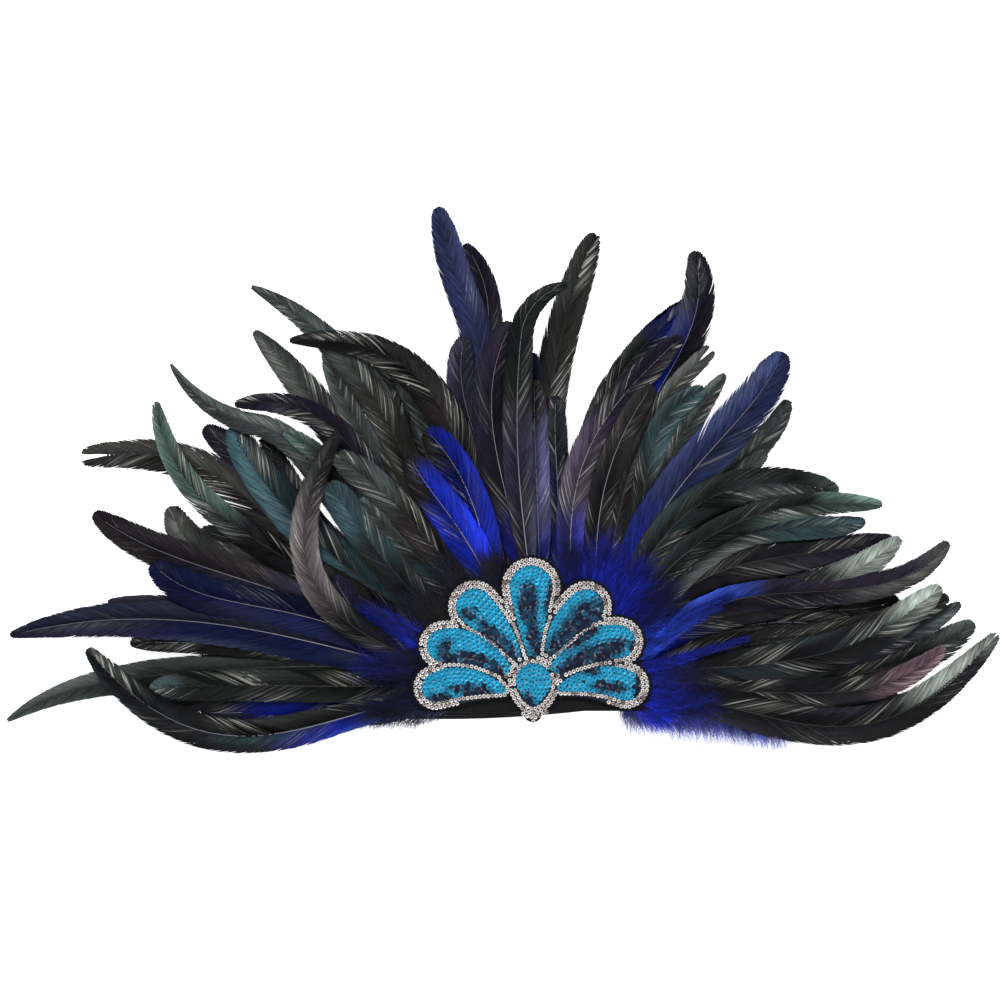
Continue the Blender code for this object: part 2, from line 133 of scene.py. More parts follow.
# White acrylic: matt, with a glow from the lamps below it
acrylic, _, _ = new_material(
    "white_acrylic_light_table", Base_Color=to_linear("#F2F2F2"), Roughness=0.9,
    Specular_IOR_Level=0.1, Emission_Color=to_linear("#FFFFFF"), Emission_Strength=0.9)
floor.data.materials.append(acrylic)
world = bpy.data.worlds.new("light_tent")
bpy.context.scene.world = world
world.use_nodes = True
tent = world.node_tree.nodes["Background"]
tent.inputs["Color"].default_value = to_linear("#F7F8FA")
tent.inputs["Strength"].default_value = TENT_STRENGTH
for box in SOFTBOXES:
    light_data = bpy.data.lights.new(box.name, "AREA")
    light_data.size = box.size
    light_data.energy = box.watts
    light = bpy.data.objects.new(box.name, light_data)
    light.location = (box.x, box.y, box.z)
    aim = Vector((*FRAME_CENTRE, 0.0)) - light.location
    light.rotation_euler = aim.to_track_quat("-Z", "Y").to_euler()
    bpy.context.scene.collection.objects.link(light)
bpy.context.scene.view_settings.view_transform = "Standard"
print("lights", len(SOFTBOXES))

# %% [markdown]
# The rows of feathers fan out: over the head band they lie level, one felt base above the other,
# and beyond it the lowest row comes down to the floor while the others stay a little higher.
# These are the sizes the solids were made with, so each feather lies where its solid lies.

# %% Sizes shared with the solids, in millimetres
BASE_CENTRE = (-3.0, -12.0)   # middle of the felt bases
BASE_RADII = (63.0, 66.0)     # how far they reach from it
BASE_LOW_Y = -16.0            # where they are cut straight
BASE_THICK = 1.0
GAP = 0.3                     # between one piece and the next
ROW_PITCH = BASE_THICK + GAP  # from row to row over the band
BAND_HEIGHT = 13.2
FAN_PITCH = 2.8               # and out at the tips
FLAT_HALF_X = 125.0           # this and the next two bound where rows lie level
FLAT_LOW_Y = -20.0
FLAT_HIGH_Y = 54.0
FAN_REACH = 150.0             # distance over which they come down beyond it
FEATHER_HALF_THICK = 0.4
ROOT_REACH = 12.0             # how far a quill goes on past its root
CURL_START = 0.8              # share of a shaft where its curl begins
PATH_STEPS = 80               # steps of a shaft's line
FEATHER_ROWS = 11


def row_height(x, y, row):
    """Height of a row's middle plane at a place, for arrays."""
    aside = np.maximum(np.abs(x) - FLAT_HALF_X, 0.0)
    beyond = np.maximum(np.maximum(y - FLAT_HIGH_Y, FLAT_LOW_Y - y), 0.0)
    share = np.minimum(np.hypot(aside, beyond) / FAN_REACH, 1.0)
    share = share * share * (3.0 - 2.0 * share)
    level = BAND_HEIGHT + GAP + BASE_THICK / 2.0 + row * ROW_PITCH
    spread = FEATHER_HALF_THICK + (row - 1) * FAN_PITCH
    return level + (spread - level) * share


print("felt under the palmette at", round(float(row_height(0.0, 0.0, FEATHER_ROWS)), 1), "mm")

# %% [markdown]
# Every feather has its own line in the table. Root, tip and the three bows say where its shaft
# runs, as on the solids. Then come the dye near the root, in the middle and at the tip, and how
# many barbs get painted highlights as pale streaks. Half names the side of the vane that lies
# smooth, is painted lighter as if it caught more light, and keeps the root's dye longer: 1 for the
# left one, seen from the root, -1 for the right one. After it come how ragged the edge is and how
# far the vane is rolled about its shaft. The last four are given only where they differ from what
# most feathers have: how high the tip lifts, where along the vane its colour begins, how far it is
# split in two, and where the root's colour ends.

# %% Table of feathers
Feather = namedtuple("Feather", (
    "row root_x root_y tip_x tip_y bow_1 bow_2 bow_3 curl width point "
    "root_dye dye tip_dye streak half ragged roll lift tip_from fork root_to"),
    defaults=(0, 0, .55, 0, .12))
FEATHERS = [Feather(*line) for line in (
    # left side, from the lowest feather upwards
    (1, -61, -8, -187, -17, 1, 1, 2, 0, 18.5, 0, "coal", "royal", "coal", .3, 0, .5, 4, 0, .7),
    (2, -61, -6, -232, -10, 2, 3, 1, 0, 16.5, 0, "bright", "royal", "umber", .5, 0, .5, -4, 0, .5),
    (5, -61, -2, -215, -5, 0, -1, -2, 0, 18.5, 0, "coal", "forest", "teal", .8, 0, .4, 3, 0, .86),
    (6, -61, -10, -249, 18, 18, 34.5, 30.5, 0, 19.5, .4, "royal", "coal", "ash", .9, 1, .3, 6, 3, .9),
    (3, -61, 1, -294, -22.5, -13, -16.5, -16, 0, 19, .9, "coal", "forest", "slate", .05, 0, .2, 4, 2, .65),
    (4, -61, 4, -226, 21, -3, -5, -4, 0, 13, 0, "navy", "coal", "coal", .6, 0, .3, -3),
    (5, -61, 6, -292, 25, -9, -15.5, -13.5, 0, 24, .8, "navy", "navy", "plum", .1, 1, .4, 5, 2, .45),
    (1, -61, 8, -239, 43, -7, -9.5, -6.5, 0, 13.5, .3, "navy", "plum", "plum", .1, 0, .4),
    (6, -61, 10, -213.5, 65, -2, 0, 6, 0, 22, 0, "plum", "navy", "navy", .2, 1, .3, -5, 1),
    (2, -61, 15, -199, 65, -4, -8, -6, 0, 19, 0, "navy", "navy", "navy", .3, 0, .4, 4),
    (4, -59, 12, -246, 92.5, -2.5, 0, 4.5, 0, 22.5, .3, "coal", "grape", "umber", .15, 1, .2, -5, 2, .5),
    (3, -59, 17, -203, 96.5, -1, 0, 12, 0, 21, 0, "coal", "forest", "ash", .4, 0, .2, 4, 0, .8),
    (1, -59, 20, -187, 83, -4, -8, -6, 0, 15.5, 0, "navy", "forest", "coal", .2, 0, .4),
    (5, -58, 21, -250, 110, -9.5, -22.5, -33.5, -24, 21, .2,
     "coal", "olive", "olive", .8, -1, .7, 5, 2, .55, 2),
    (7, -59, 23, -211, 154, 9.5, 20.5, 23.5, 0, 16, .4, "coal", "coal", "mint", .9, 0, .3, -4, 3, .6),
    (4, -58, 25, -185.5, 139.5, 1, 1, -1, 0, 19, 0, "navy", "plum", "plum", .1, 0, .3),
    (6, -56, 26, -170, 140, 7, 11, 9, 0, 22, 0, "forest", "teal", "teal", .8, 1, .3, 4),
    (2, -54, 28, -153, 134, 7, 12, 8, 0, 14.5, 0, "coal", "coal", "coal", .7, 0, .4),
    (7, -55, 28, -211, 122, -15, -34.5, -46.5, -92, 15.5, .9, "coal", "slate", "slate", .2, 0, .3, 6, 4),
    (8, -48, 29, -141, 137, -1, -4, -7, 0, 12, 0, "coal", "forest", "mint", .3, 0, .4, 0, 0, .8),
    (8, -33, 17, -168, 152, -11, -22, -29, 0, 16, .4, "plum", "plum", "plum", .7, 0, .5, 5, 2),
    (2, -41, 30, -158, 193, 0, -4, -4.5, 0, 22.5, .7, "coal", "olive", "ash", .8, 1, .2, 4, 0, .6),
    (6, -33, 23, -159, 217, -10.5, -21, -21, 0, 18, .8, "coal", "olive", "slate", .7, 0, .3, -5, 3, .6),
    (7, -16, 28, -138, 187, -21.5, -39.5, -42, 0, 21, .8, "coal", "umber", "coal", 1, 0, .3, 6, 2),
    (3, -35, 31, -118, 183, 1, 4, 5, 0, 14, 0, "forest", "slate", "slate", .6, 0, .3, 3),
    (5, -31, 30, -107, 179, 2, 2, -3, 0, 19, 0, "coal", "umber", "slate", .9, 0, .3, -3),
    (4, -28, 31, -82, 160, 6, 9, 7, 0, 14, 0, "coal", "coal", "coal", .4, 0, .6),
    (2, -23, 31, -73, 163, -1, -2, -3, 0, 16.5, 0, "coal", "coal", "slate", 1, 0, .4, 3),
    (1, -28, 31, -92, 182, -3, -4, -4, 0, 15.5, 0, "coal", "umber", "slate", .8, 0, .3, -3),
    (1, -43, 29, -120, 155, -3, -3, -2, 0, 15.5, 0, "coal", "forest", "slate", .3, 0, .3),
    # shorter ones in front on the left
    (11, -66, 12, -110, 138, 31, 41, 30, 0, 16.5, .6,
     "coal", "mauve", "umber", .5, 0, .3, 7, 3, .66, 0, .34),
    (10, -50, 28, -116, 109, 2, 3, 2, 0, 19, 0, "coal", "forest", "teal", .4, 1, .2, 4, 1, .5),
    (10, -24, 32, -113, 124, -4, -5, -5, 0, 19, 0, "forest", "umber", "slate", .8, 0, .3, -4, 1),
    (9, -29, 28, -99, 100, -2, -1, 0, 0, 19, 0, "coal", "forest", "slate", .6, 0, .3, 3),
    (9, -19, 30, -63, 138, -4, -8, -8, 0, 20, 0, "royal", "royal", "umber", .4, -1, .3, -4, 0, .8),
    (11, -15, 29, -72, 124, -2, -3, -1, 0, 22, .2, "bright", "bright", "umber", .5, -1, .5, 3, 1, .68),
    (8, -66, 12, -113, 58, 6, 7, 5, 0, 18.5, .3, "bright", "royal", "plum", 0, 0, .5, 0, 0, .6),
    # top
    (2, -6, 23, -78, 247.5, -7, -15, -24, -50, 19, 0, "coal", "violet", "night", .2, 0, .3, 4, 3, .45),
    (1, -11, 23, -42, 241, 4, 5, -6, 0, 17.5, .3, "coal", "grape", "plum", .2, 0, .3, -5, 1),
    (3, -8, 23, -41, 190, 1, 2, 7, 0, 18, 0, "plum", "grape", "grape", .2, 0, .3, 3),
    (8, -6, 23, -15, 197, 2, 10, 14, 0, 22, 0, "royal", "plum", "plum", .2, 0, .3, -4, 2),
    (9, -3, 34, -6, 230, 5, 8, 6, -70, 17, .6, "grape", "grape", "forest", .4, 0, .3, 5, 4, .45),
    (2, 8, 23, 30.5, 247, 10, 16, 12.5, 0, 20, .1, "coal", "umber", "olive", .8, 1, .3, 5, 2),
    (4, 2, 28, -3, 166, 1, 1, 1, 0, 15.5, 0, "bright", "violet", "umber", .5, 0, .3, 0, 0, .72),
    (3, -4, 28, -4, 181, 1, 2, 2, 0, 14.5, 0, "navy", "navy", "coal", .1, 0, .3),
    (3, 12, 28, 9, 157, 0, 0, 1, 0, 14.5, 0, "royal", "navy", "olive", .4, 0, .3),
    (5, 16, 28, 78, 190, 16, 25.5, 18.5, 0, 19, .3, "bright", "heather", "plum", .6, 0, .3, 6, 3, .5),
    (1, 24, 28, 84, 210, 16, 28, 23, 0, 15.5, 0, "coal", "forest", "royal", .6, 0, .4, 0, 0, .8),
    (3, 33, 28, 84.5, 237, 12, 8, -7, 0, 23, .2, "navy", "royal", "umber", .5, 1, .6, -5, 2, .6),
    (4, 32, 29, 95, 183, 9, 16, 14, 0, 13, 0, "coal", "umber", "ash", .5, 0, .9, 0, 0, .55, 1.5),
    (5, 29, 28, 62, 163, 7, 12, 10, 0, 15.5, 0, "royal", "coal", "umber", .3, 0, .3, 3),
    (2, 22, 28, 45, 141, 4, 6, 5, 0, 14.5, 0, "royal", "navy", "coal", .2, 0, .3),
    (6, 40, 29, 91, 160.5, 5, 10, 15, 0, 15.5, 0, "coal", "forest", "teal", .7, 0, .3, 4),
    (5, 42, 23, 102, 169, 8, 12, 9, 0, 17.5, .6, "forest", "slate", "slate", .8, 0, .5, -4),
    (7, 37, 28, 133.5, 181, 8, 8, 1, 0, 26, .1, "royal", "night", "night", .2, 1, .4, 5, 2),
    (1, 47, 28, 137, 155, 6, 7, 0, 0, 14.5, 0, "coal", "forest", "slate", .4, 0, .3),
    (2, 47, 25, 125, 126, 5, 9, 7, 0, 13, 0, "coal", "forest", "slate", .3, 0, .3),
    # right side, from the highest feather downwards
    (8, 33, 17, 164, 104, 22, 36, 30, 0, 21, .2, "coal", "forest", "slate", .9, 1, .4, 5, 2, .75),
    (9, 44, 23, 188, 97, 22, 28, 20, 0, 15.5, .4, "coal", "forest", "mint", .8, 1, .3, 5, 2, .65),
    (6, 50, 23, 179, 88, 16, 24, 14, 0, 15, .2, "coal", "slate", "teal", .5, 0, .3, -3, 1),
    (4, 44, 23, 121, 105, 13, 20, 14, 0, 16.5, 0, "coal", "coal", "umber", .9, 0, .5, 3),
    (3, 44, 23, 143, 89, 15, 22, 17, 0, 16.5, 0, "royal", "coal", "coal", .8, 0, .5),
    (5, 55, 23, 194, 79, 17, 16, 7, 0, 22, .6, "coal", "coal", "plum", .3, 0, .5, -5, 1),
    (4, 52, 23, 165, 80, 18, 27, 19, 0, 16.5, 0, "royal", "navy", "coal", .3, 0, .5),
    (6, 61, 17, 198, 79, 4, -3, -7, 0, 22, .5, "royal", "coal", "pale", .6, 0, .3, 5, 3, .72),
    (7, 55, 9, 224, 77, 15, 6, -8, 0, 17, .3, "sapphire", "plum", "ash", .3, 1, .4, -5, 4, .75),
    (1, 55, 17, 176, 45, 17, 25, 17, 0, 16.5, 0, "royal", "umber", "coal", .2, 0, .5),
    (2, 59, 9, 198, 45, 11, 11, 3, 0, 16.5, 0, "royal", "coal", "coal", .6, 0, .6),
    (9, 59, 4, 224, 47, 3, -2, -6, 0, 16.5, 0, "coal", "coal", "olive", .8, 0, .6, -4, 1),
    (10, 55, 3, 219.5, 52.5, -8, -16, -15, 0, 22, .3, "coal", "coal", "pale", .7, 0, .4, 5, 2, .78),
    (8, 55, 3, 231, 43, -6, -12, -12, 0, 16, .4, "coal", "plum", "slate", .4, 0, .4, -4, 1, .8),
    (6, 59, 3, 215, 34, 4, 1, 1, 0, 15.5, 0, "royal", "coal", "olive", .8, 0, .6, 4),
    (7, 55, 1, 238.5, 32.5, -8, -16, -16, 0, 22, .2, "coal", "forest", "slate", .7, 0, .5, 4, 2, .8),
    (3, 59, 6, 212, 23, 15, 18, 9, 0, 16.5, 0, "royal", "coal", "coal", .8, 0, .6),
    (5, 58, 5, 182, 23, 7, 8, 4, 0, 18.5, 0, "coal", "coal", "coal", .8, 0, .6, -4),
    (4, 58, -2, 215, 17, 0, -3, -6, 0, 16.5, 0, "coal", "coal", "olive", .8, 0, .6, 4),
    (9, 55, -2, 222, 19, -8, -15, -17, 0, 16.5, .3, "coal", "coal", "rose", .6, 0, .4, 5, 1, .7),
    (1, 58, -5, 201, -10, -4, -8, -8, 0, 16.5, 0, "royal", "coal", "coal", .6, 0, .6),
    (2, 58, -8, 215, -7, -6, -11, -11, 0, 15.5, 0, "royal", "coal", "coal", .6, 0, .6, 3),
    (10, 63, -9, 250.5, 26.5, -16.5, -34, -29.5, 0, 22, .6,
     "coal", "coal", "pale", .8, -1, .3, 6, 4, .8, .5),
)]
print("feathers", len(FEATHERS))

# %% [markdown]
# The dyes, as sRGB values of the vane itself, without the gloss that lies over it. Most feathers
# are cock tail feathers, nearly black with a green or violet cast, and some were bleached to grey
# before the blue dye, which leaves them a pale shaft. The down at their roots takes blue best.
# Three entries are no dyes but painted light: the pale of the highlight streaks on barbs, the white
# of the glints on sequins and the brown of the painted shade on silver sequins.

# %% Dyes
DYES = {
    "coal": "#0E0E11",
    "forest": "#101614",
    "umber": "#1D1A1B",
    "olive": "#20201D",
    "plum": "#15121F",
    "grape": "#2C2B3C",
    "heather": "#443C4C",
    "violet": "#4C4C70",
    "mauve": "#6E6667",
    "rose": "#6C535D",
    "ash": "#4A4C49",
    "slate": "#3E4544",
    "teal": "#2E4449",
    "mint": "#526760",
    "pale": "#939D95",
    "navy": "#0C1130",
    "night": "#252D50",
    "royal": "#0D186F",
    "bright": "#1729AC",
    "sapphire": "#2A4CC4",
    "frost": "#A5A4DA",
    # Colour of the painted highlights on glinting barb ridges, not a dye
    "streak": "#CACCC3",
    "quill_pale": "#7E7C88",
    "quill_dark": "#1B1A19",
    "turquoise": "#1F9FCB",
    "silver": "#EAE2DF",
    # Brown of the painted shade on silver sequins
    "shaded_silver": "#7D6A60",
    # White of the painted glints on sequins, not a dye
    "glint_white": "#F4F6FA",
}
BLEACHED = {"royal", "bright", "navy", "night", "grape"}
print("dyes", len(DYES))

# %% [markdown]
# The barbs of a vane hook together in narrow bundles. Where they lie flat the vane is a smooth
# sheet, and where they have been ruffled each bundle stands up, and its ridge gets a painted
# highlight. One bundle is modelled as a three-sided rod with its ridge upwards. An array lays as
# many side by side as the vane is long, a mirror adds the other half, and the comb is then laid
# along the feather's shaft. The shaft itself is a six-sided rod cut into short lengths, so that it
# can bend.

# %% One barb bundle and one shaft
BUNDLE_PITCH = 1.5            # from bundle to bundle along the shaft, in mm
BARB_PARTS = 4                # lengths that a bundle bends between
QUILL_PARTS = 24              # and a shaft
ROD_START = 0.02              # how far a rod starts off the X axis


def select_only(item):
    """Make one object the only selected and active one."""
    bpy.ops.object.select_all(action="DESELECT")
    item.select_set(True)
    bpy.context.view_layer.objects.active = item


def make_rod(name, sides, parts):
    """A rod one unit long along Y, cut into parts, with one corner upwards.

    It starts a little off the X axis, so that its mirror image keeps a side of its own."""
    bpy.ops.object.select_all(action="DESELECT")
    bpy.ops.mesh.primitive_cylinder_add(
        vertices=sides, radius=0.5, depth=1.0, end_fill_type="NGON",
        location=(0.5, 0.5 + ROD_START, 0.0), rotation=(math.pi / 2.0, 0.0, 0.0))
    item = bpy.context.object
    item.name = name
    bpy.ops.object.transform_apply(location=True, rotation=True, scale=True)
    bpy.ops.object.mode_set(mode="EDIT")
    for part in range(1, parts):
        bpy.ops.mesh.select_all(action="SELECT")
        bpy.ops.mesh.bisect(plane_co=(0.0, ROD_START + part / parts, 0.0), plane_no=(0.0, 1.0, 0.0))
    bpy.ops.object.mode_set(mode="OBJECT")
    return item


def repeat(item, count):
    """Repeat an object's mesh in a row, one unit apart along X."""
    select_only(item)
    row = item.modifiers.new("row", "ARRAY")
    row.count = count
    row.use_relative_offset = False
    row.use_constant_offset = True
    row.constant_offset_displace = (1.0, 0.0, 0.0)
    bpy.ops.object.modifier_apply(modifier=row.name)


def make_comb(template, name, count):
    """Many copies of a template in one mesh, their places, and the number of each vertex's copy."""
    item = copy_of(template, name)
    repeat(item, count)
    raw = points_of(item.data)
    return item, raw, np.arange(len(raw)) // len(template.data.vertices)


def mirror_across(item):
    """Add the mirror image across Y = 0."""
    select_only(item)
    mirror = item.modifiers.new("other_half", "MIRROR")
    mirror.use_axis = (False, True, False)
    mirror.use_mirror_merge = False
    bpy.ops.object.modifier_apply(modifier=mirror.name)


def copy_of(item, name):
    """A copy with a mesh of its own."""
    twin = item.copy()
    twin.data = item.data.copy()
    twin.name = name
    bpy.context.scene.collection.objects.link(twin)
    return twin


def join(items, name):
    """Join objects into the first one."""
    bpy.ops.object.select_all(action="DESELECT")
    for item in items:
        item.select_set(True)
    bpy.context.view_layer.objects.active = items[0]
    bpy.ops.object.join()
    items[0].name = name
    items[0].data.name = name
    return items[0]


def triangles(item):
    """How many triangles an object's mesh has."""
    return sum(len(face.vertices) - 2 for face in item.data.polygons)


barb_bundle = make_rod("barb_bundle", 3, BARB_PARTS)
quill_rod = make_rod("quill_rod", 6, QUILL_PARTS)
print("barb bundle", triangles(barb_bundle), "triangles")

# %% [markdown]
# A shaft is one smooth curve through five points: the root, three points that its bows push
# aside, and the tip. Its last fifth may curl on. The quill goes on into the felt base, and the
# vane begins where the base ends. Blender has no tool that lays a mesh along such a line at the
# height of its row, so places are worked out here, for all vertices of a feather at once.

# %% Shaft lines
ROLL_PACE = 1.5               # the roll is full after two thirds of the vane
LIFT_FROM = 0.55              # share of the vane where the tip begins to lift
LIFT_SPAN = 0.2               # square of the share that is left, so the tip gets the whole lift
FLOOR_GAP = 0.12              # lowest height of a vertex, in mm


def shaft_line(feather):
    """Places along a shaft from inside the felt base to the tip, their lengths, the base's edge."""
    root = np.array((feather.root_x, feather.root_y), float)
    tip = np.array((feather.tip_x, feather.tip_y), float)
    chord = tip - root
    side = np.array((-chord[1], chord[0])) / np.hypot(*chord)
    knots = np.array((0.0, 0.25, 0.5, 0.75, 1.0))
    bows = np.array((0.0, feather.bow_1, feather.bow_2, feather.bow_3, 0.0))
    t = np.linspace(0.0, 1.0, PATH_STEPS + 1)
    line = np.zeros((len(t), 2))
    for i, knot in enumerate(knots):
        others = np.delete(knots, i)
        weight = np.prod((t[:, None] - others) / (knot - others), axis=1)
        line += weight[:, None] * (root + chord * knot + side * bows[i])
    steps = np.diff(line, axis=0)
    turn = np.radians(feather.curl) * np.clip((t[1:] - CURL_START) / (1.0 - CURL_START), 0.0, 1.0)
    steps = np.stack((steps[:, 0] * np.cos(turn) - steps[:, 1] * np.sin(turn),
                      steps[:, 0] * np.sin(turn) + steps[:, 1] * np.cos(turn)), axis=1)
    quill = line[0] - steps[0] / np.hypot(*steps[0]) * ROOT_REACH
    line = np.concatenate(([quill], [line[0]], line[0] + np.cumsum(steps, axis=0)))
    lengths = np.concatenate(([0.0], np.cumsum(np.hypot(*np.diff(line, axis=0).T))))
    inside = inside_base(line)
    edge = lengths[inside].max() if inside.any() else 0.0
    return line, lengths, edge


def inside_base(places):
    """Which places lie over the felt bases."""
    across = (places[:, 0] - BASE_CENTRE[0]) / BASE_RADII[0]
    along = (places[:, 1] - BASE_CENTRE[1]) / BASE_RADII[1]
    return (places[:, 1] > BASE_LOW_Y) & (across ** 2 + along ** 2 < 1.0)


def along_shaft(shape, share):
    """Place and left-hand normal at shares of the free length, also a little past the tip."""
    line, lengths, edge = shape
    distance = edge + share * (lengths[-1] - edge)
    place = np.stack([np.interp(distance, lengths, line[:, axis]) for axis in (0, 1)], axis=1)
    heading = np.stack([np.interp(distance + 1.0, lengths, line[:, axis])
                        - np.interp(distance - 1.0, lengths, line[:, axis]) for axis in (0, 1)], axis=1)
    heading /= np.maximum(np.hypot(heading[:, 0], heading[:, 1]), 1e-6)[:, None]
    past = np.maximum(distance - lengths[-1], 0.0)
    return place + heading * past[:, None], np.stack((-heading[:, 1], heading[:, 0]), axis=1)


def lay_on_shaft(feather, shape, share, across, rise):
    """Turn shares along a shaft, distances across it and rises above it into places in metres."""
    place, normal = along_shaft(shape, share)
    roll = math.radians(feather.roll) * np.clip(share * ROLL_PACE, 0.0, 1.0)
    flat = place + normal * (across * np.cos(roll))[:, None]
    lift = feather.lift * np.clip(share - LIFT_FROM, 0.0, 1.0) ** 2 / LIFT_SPAN
    height = row_height(place[:, 0], place[:, 1], feather.row) + across * np.sin(roll) + rise + lift
    return np.column_stack((flat, np.maximum(height, FLOOR_GAP))) * MM


print("longest shaft", round(max(shaft_line(feather)[1][-1] for feather in FEATHERS)), "mm")

# %% [markdown]
# Each vertex gets its own dye, as a colour attribute, because no two barbs of a real feather
# take the dye alike. On the vanes this colour also holds painted light, shade and sheen. The
# attribute's alpha says how ruffled the barbs are there, and a UV map in millimetres gives the
# material a direction along the barbs.

# %% Places and dyes of a mesh
ROOT_BLEND = 0.20             # share over which the root's dye runs into the middle's
TIP_BLEND = 0.15              # and the middle's into the tip's


def set_places(mesh, places):
    """Move all vertices of a mesh at once."""
    mesh.vertices.foreach_set("co", places.ravel())
    mesh.update()


def set_looks(mesh, colours, ruffle, uv):
    """Write one colour, the dye with any painted light and shade, how ruffled it is and one place along
    the barbs for each vertex.
    """
    dye = mesh.color_attributes.new("dye", "FLOAT_COLOR", "POINT")
    dye.data.foreach_set("color", np.column_stack((colours, ruffle)).ravel())
    layer = mesh.uv_layers.get("barbs") or mesh.uv_layers.new(name="barbs")
    corners = np.empty(len(mesh.loops), dtype=int)
    mesh.loops.foreach_get("vertex_index", corners)
    layer.data.foreach_set("uv", uv[corners].ravel())


def drop_uvs(item):
    """Remove the primitive's own UV map."""
    for layer in list(item.data.uv_layers):
        item.data.uv_layers.remove(layer)


def dye_colour(name):
    """Linear colour of a named dye."""
    return np.array(to_linear(DYES[name])[:3])


def blend_dyes(names, root_to, tip_from, share):
    """Dye along a feather: root, middle and tip colours run into each other."""
    root, middle, tip = (dye_colour(name) for name in names)
    early = np.clip((share - root_to) / ROOT_BLEND, 0.0, 1.0)[:, None]
    late = np.clip((share - tip_from) / TIP_BLEND, 0.0, 1.0)[:, None]
    return (root * (1.0 - early) + middle * early) * (1.0 - late) + tip * late


print("bright dye, linear", dye_colour("bright").round(3))

# %% [markdown]
# A comb of bundles is laid along each side of the shaft. Each bundle leaves the shaft at a slant,
# curves towards the tip and overlaps the next like a roof tile. In ruffled zones the bundles are
# narrow and stand apart, and every third one or so stands proud. Splits open in a few places, as
# they do when a feather is handled, and lengths and heights vary a little, so that no edge is
# quite smooth.

# %% Two combs of barbs
# Share of a vane's length, and its half width there when it ends round and when it is pointed
VANE_SHAPE = ((0.0, 0.36, 0.36), (0.08, 0.56, 0.56), (0.16, 0.78, 0.78), (0.33, 1.0, 1.0),
              (0.50, 1.0, 1.0), (0.66, 1.0, 0.94), (0.80, 0.97, 0.72), (0.88, 0.90, 0.52),
              (0.94, 0.75, 0.33), (0.98, 0.50, 0.18), (1.0, 0.24, 0.07))
OUTLINE_POINTS = 201          # steps in which the outline is measured
TIP_CLOSES = 0.004            # share over which the tip closes
SWEEP = 2.4                   # slant of a bundle, in half widths of the vane
TIP_SWEEP = 0.05              # slant at the tip, as a share of the vane
ALONG_CURVE = 0.9             # how bundles curve: 1 is straight
OUT_CURVE = 1.35              # and how soon they reach the edge
FEWEST_BUNDLES = 12           # on each side of a short vane
EDGE_WEAR = 0.03              # how unevenly bundles end, as a share of the half width
NEAT_WEAR = 0.3               # part of that wear on a neat feather
RAGGED_WEAR = 2.0             # and what a ragged one adds
WAVE_PACES = (14.0, 22.0)     # in radians from root to tip: two or three ruffled zones
RUFFLE_GAIN = 1.8             # how soon a zone is fully ruffled
RUFFLE_FROM = 0.2             # what is taken off a wave first
SMOOTH_RUFFLE = 0.1           # share of the ruffling that reaches the smooth half
SPLITS = 3.0                  # splits that a ragged vane has besides its first one
SPLIT_PLACES = (0.25, 0.95)   # shares of the vane between which it splits
SPLIT_SIZES = (0.3, 1.0)      # sizes of splits, as shares of the widest
SPLIT_REACH = 0.03            # how far along the vane a split is felt
SPLIT_WIDTH = 0.006           # half width of the widest split, as a share of the vane
COMB_STEP = 3                 # every third bundle stands proud
SLIPPED_SHARE = 0.3           # share of bundles that are out of step
Comb = namedtuple("Comb", (
    "count number inner ridge side reach bundle rank trim waves smooth ruffle opened proud"))


def barb_line(feather, free, rank, reach):
    """Where a bundle's middle line runs: distance along the shaft and out from it, in mm.

    Rank counts the bundles from 0 at the root to 1 at the tip, spread evenly along the vane's
    edge, and reach goes from 0 at the shaft to 1 at the edge."""
    shares, round_end, sharp_end = np.array(VANE_SHAPE).T
    at = np.linspace(0.0, 1.0, OUTLINE_POINTS)
    edge = np.interp(at, shares, round_end + (sharp_end - round_end) * feather.point) * feather.width / 2.0
    edge = edge * np.clip((1.0 - at) / TIP_CLOSES, 0.0, 1.0)
    walked = np.concatenate(([0.0], np.cumsum(np.hypot(np.diff(at * free), np.diff(edge)))))
    end = np.interp(rank * walked[-1], walked, at)
    half = np.interp(end, at, edge)
    last_fifth = np.clip(end * 5.0 - 4.0, 0.0, 1.0)
    sweep = np.maximum(half * SWEEP, TIP_SWEEP * free * last_fifth)
    along = end * free - sweep * (1.0 - np.clip(reach, 0.0, 2.0) ** ALONG_CURVE)
    out = half * (1.0 - np.clip(1.0 - reach, 0.0, 2.0) ** OUT_CURVE)
    return np.column_stack((along, out))


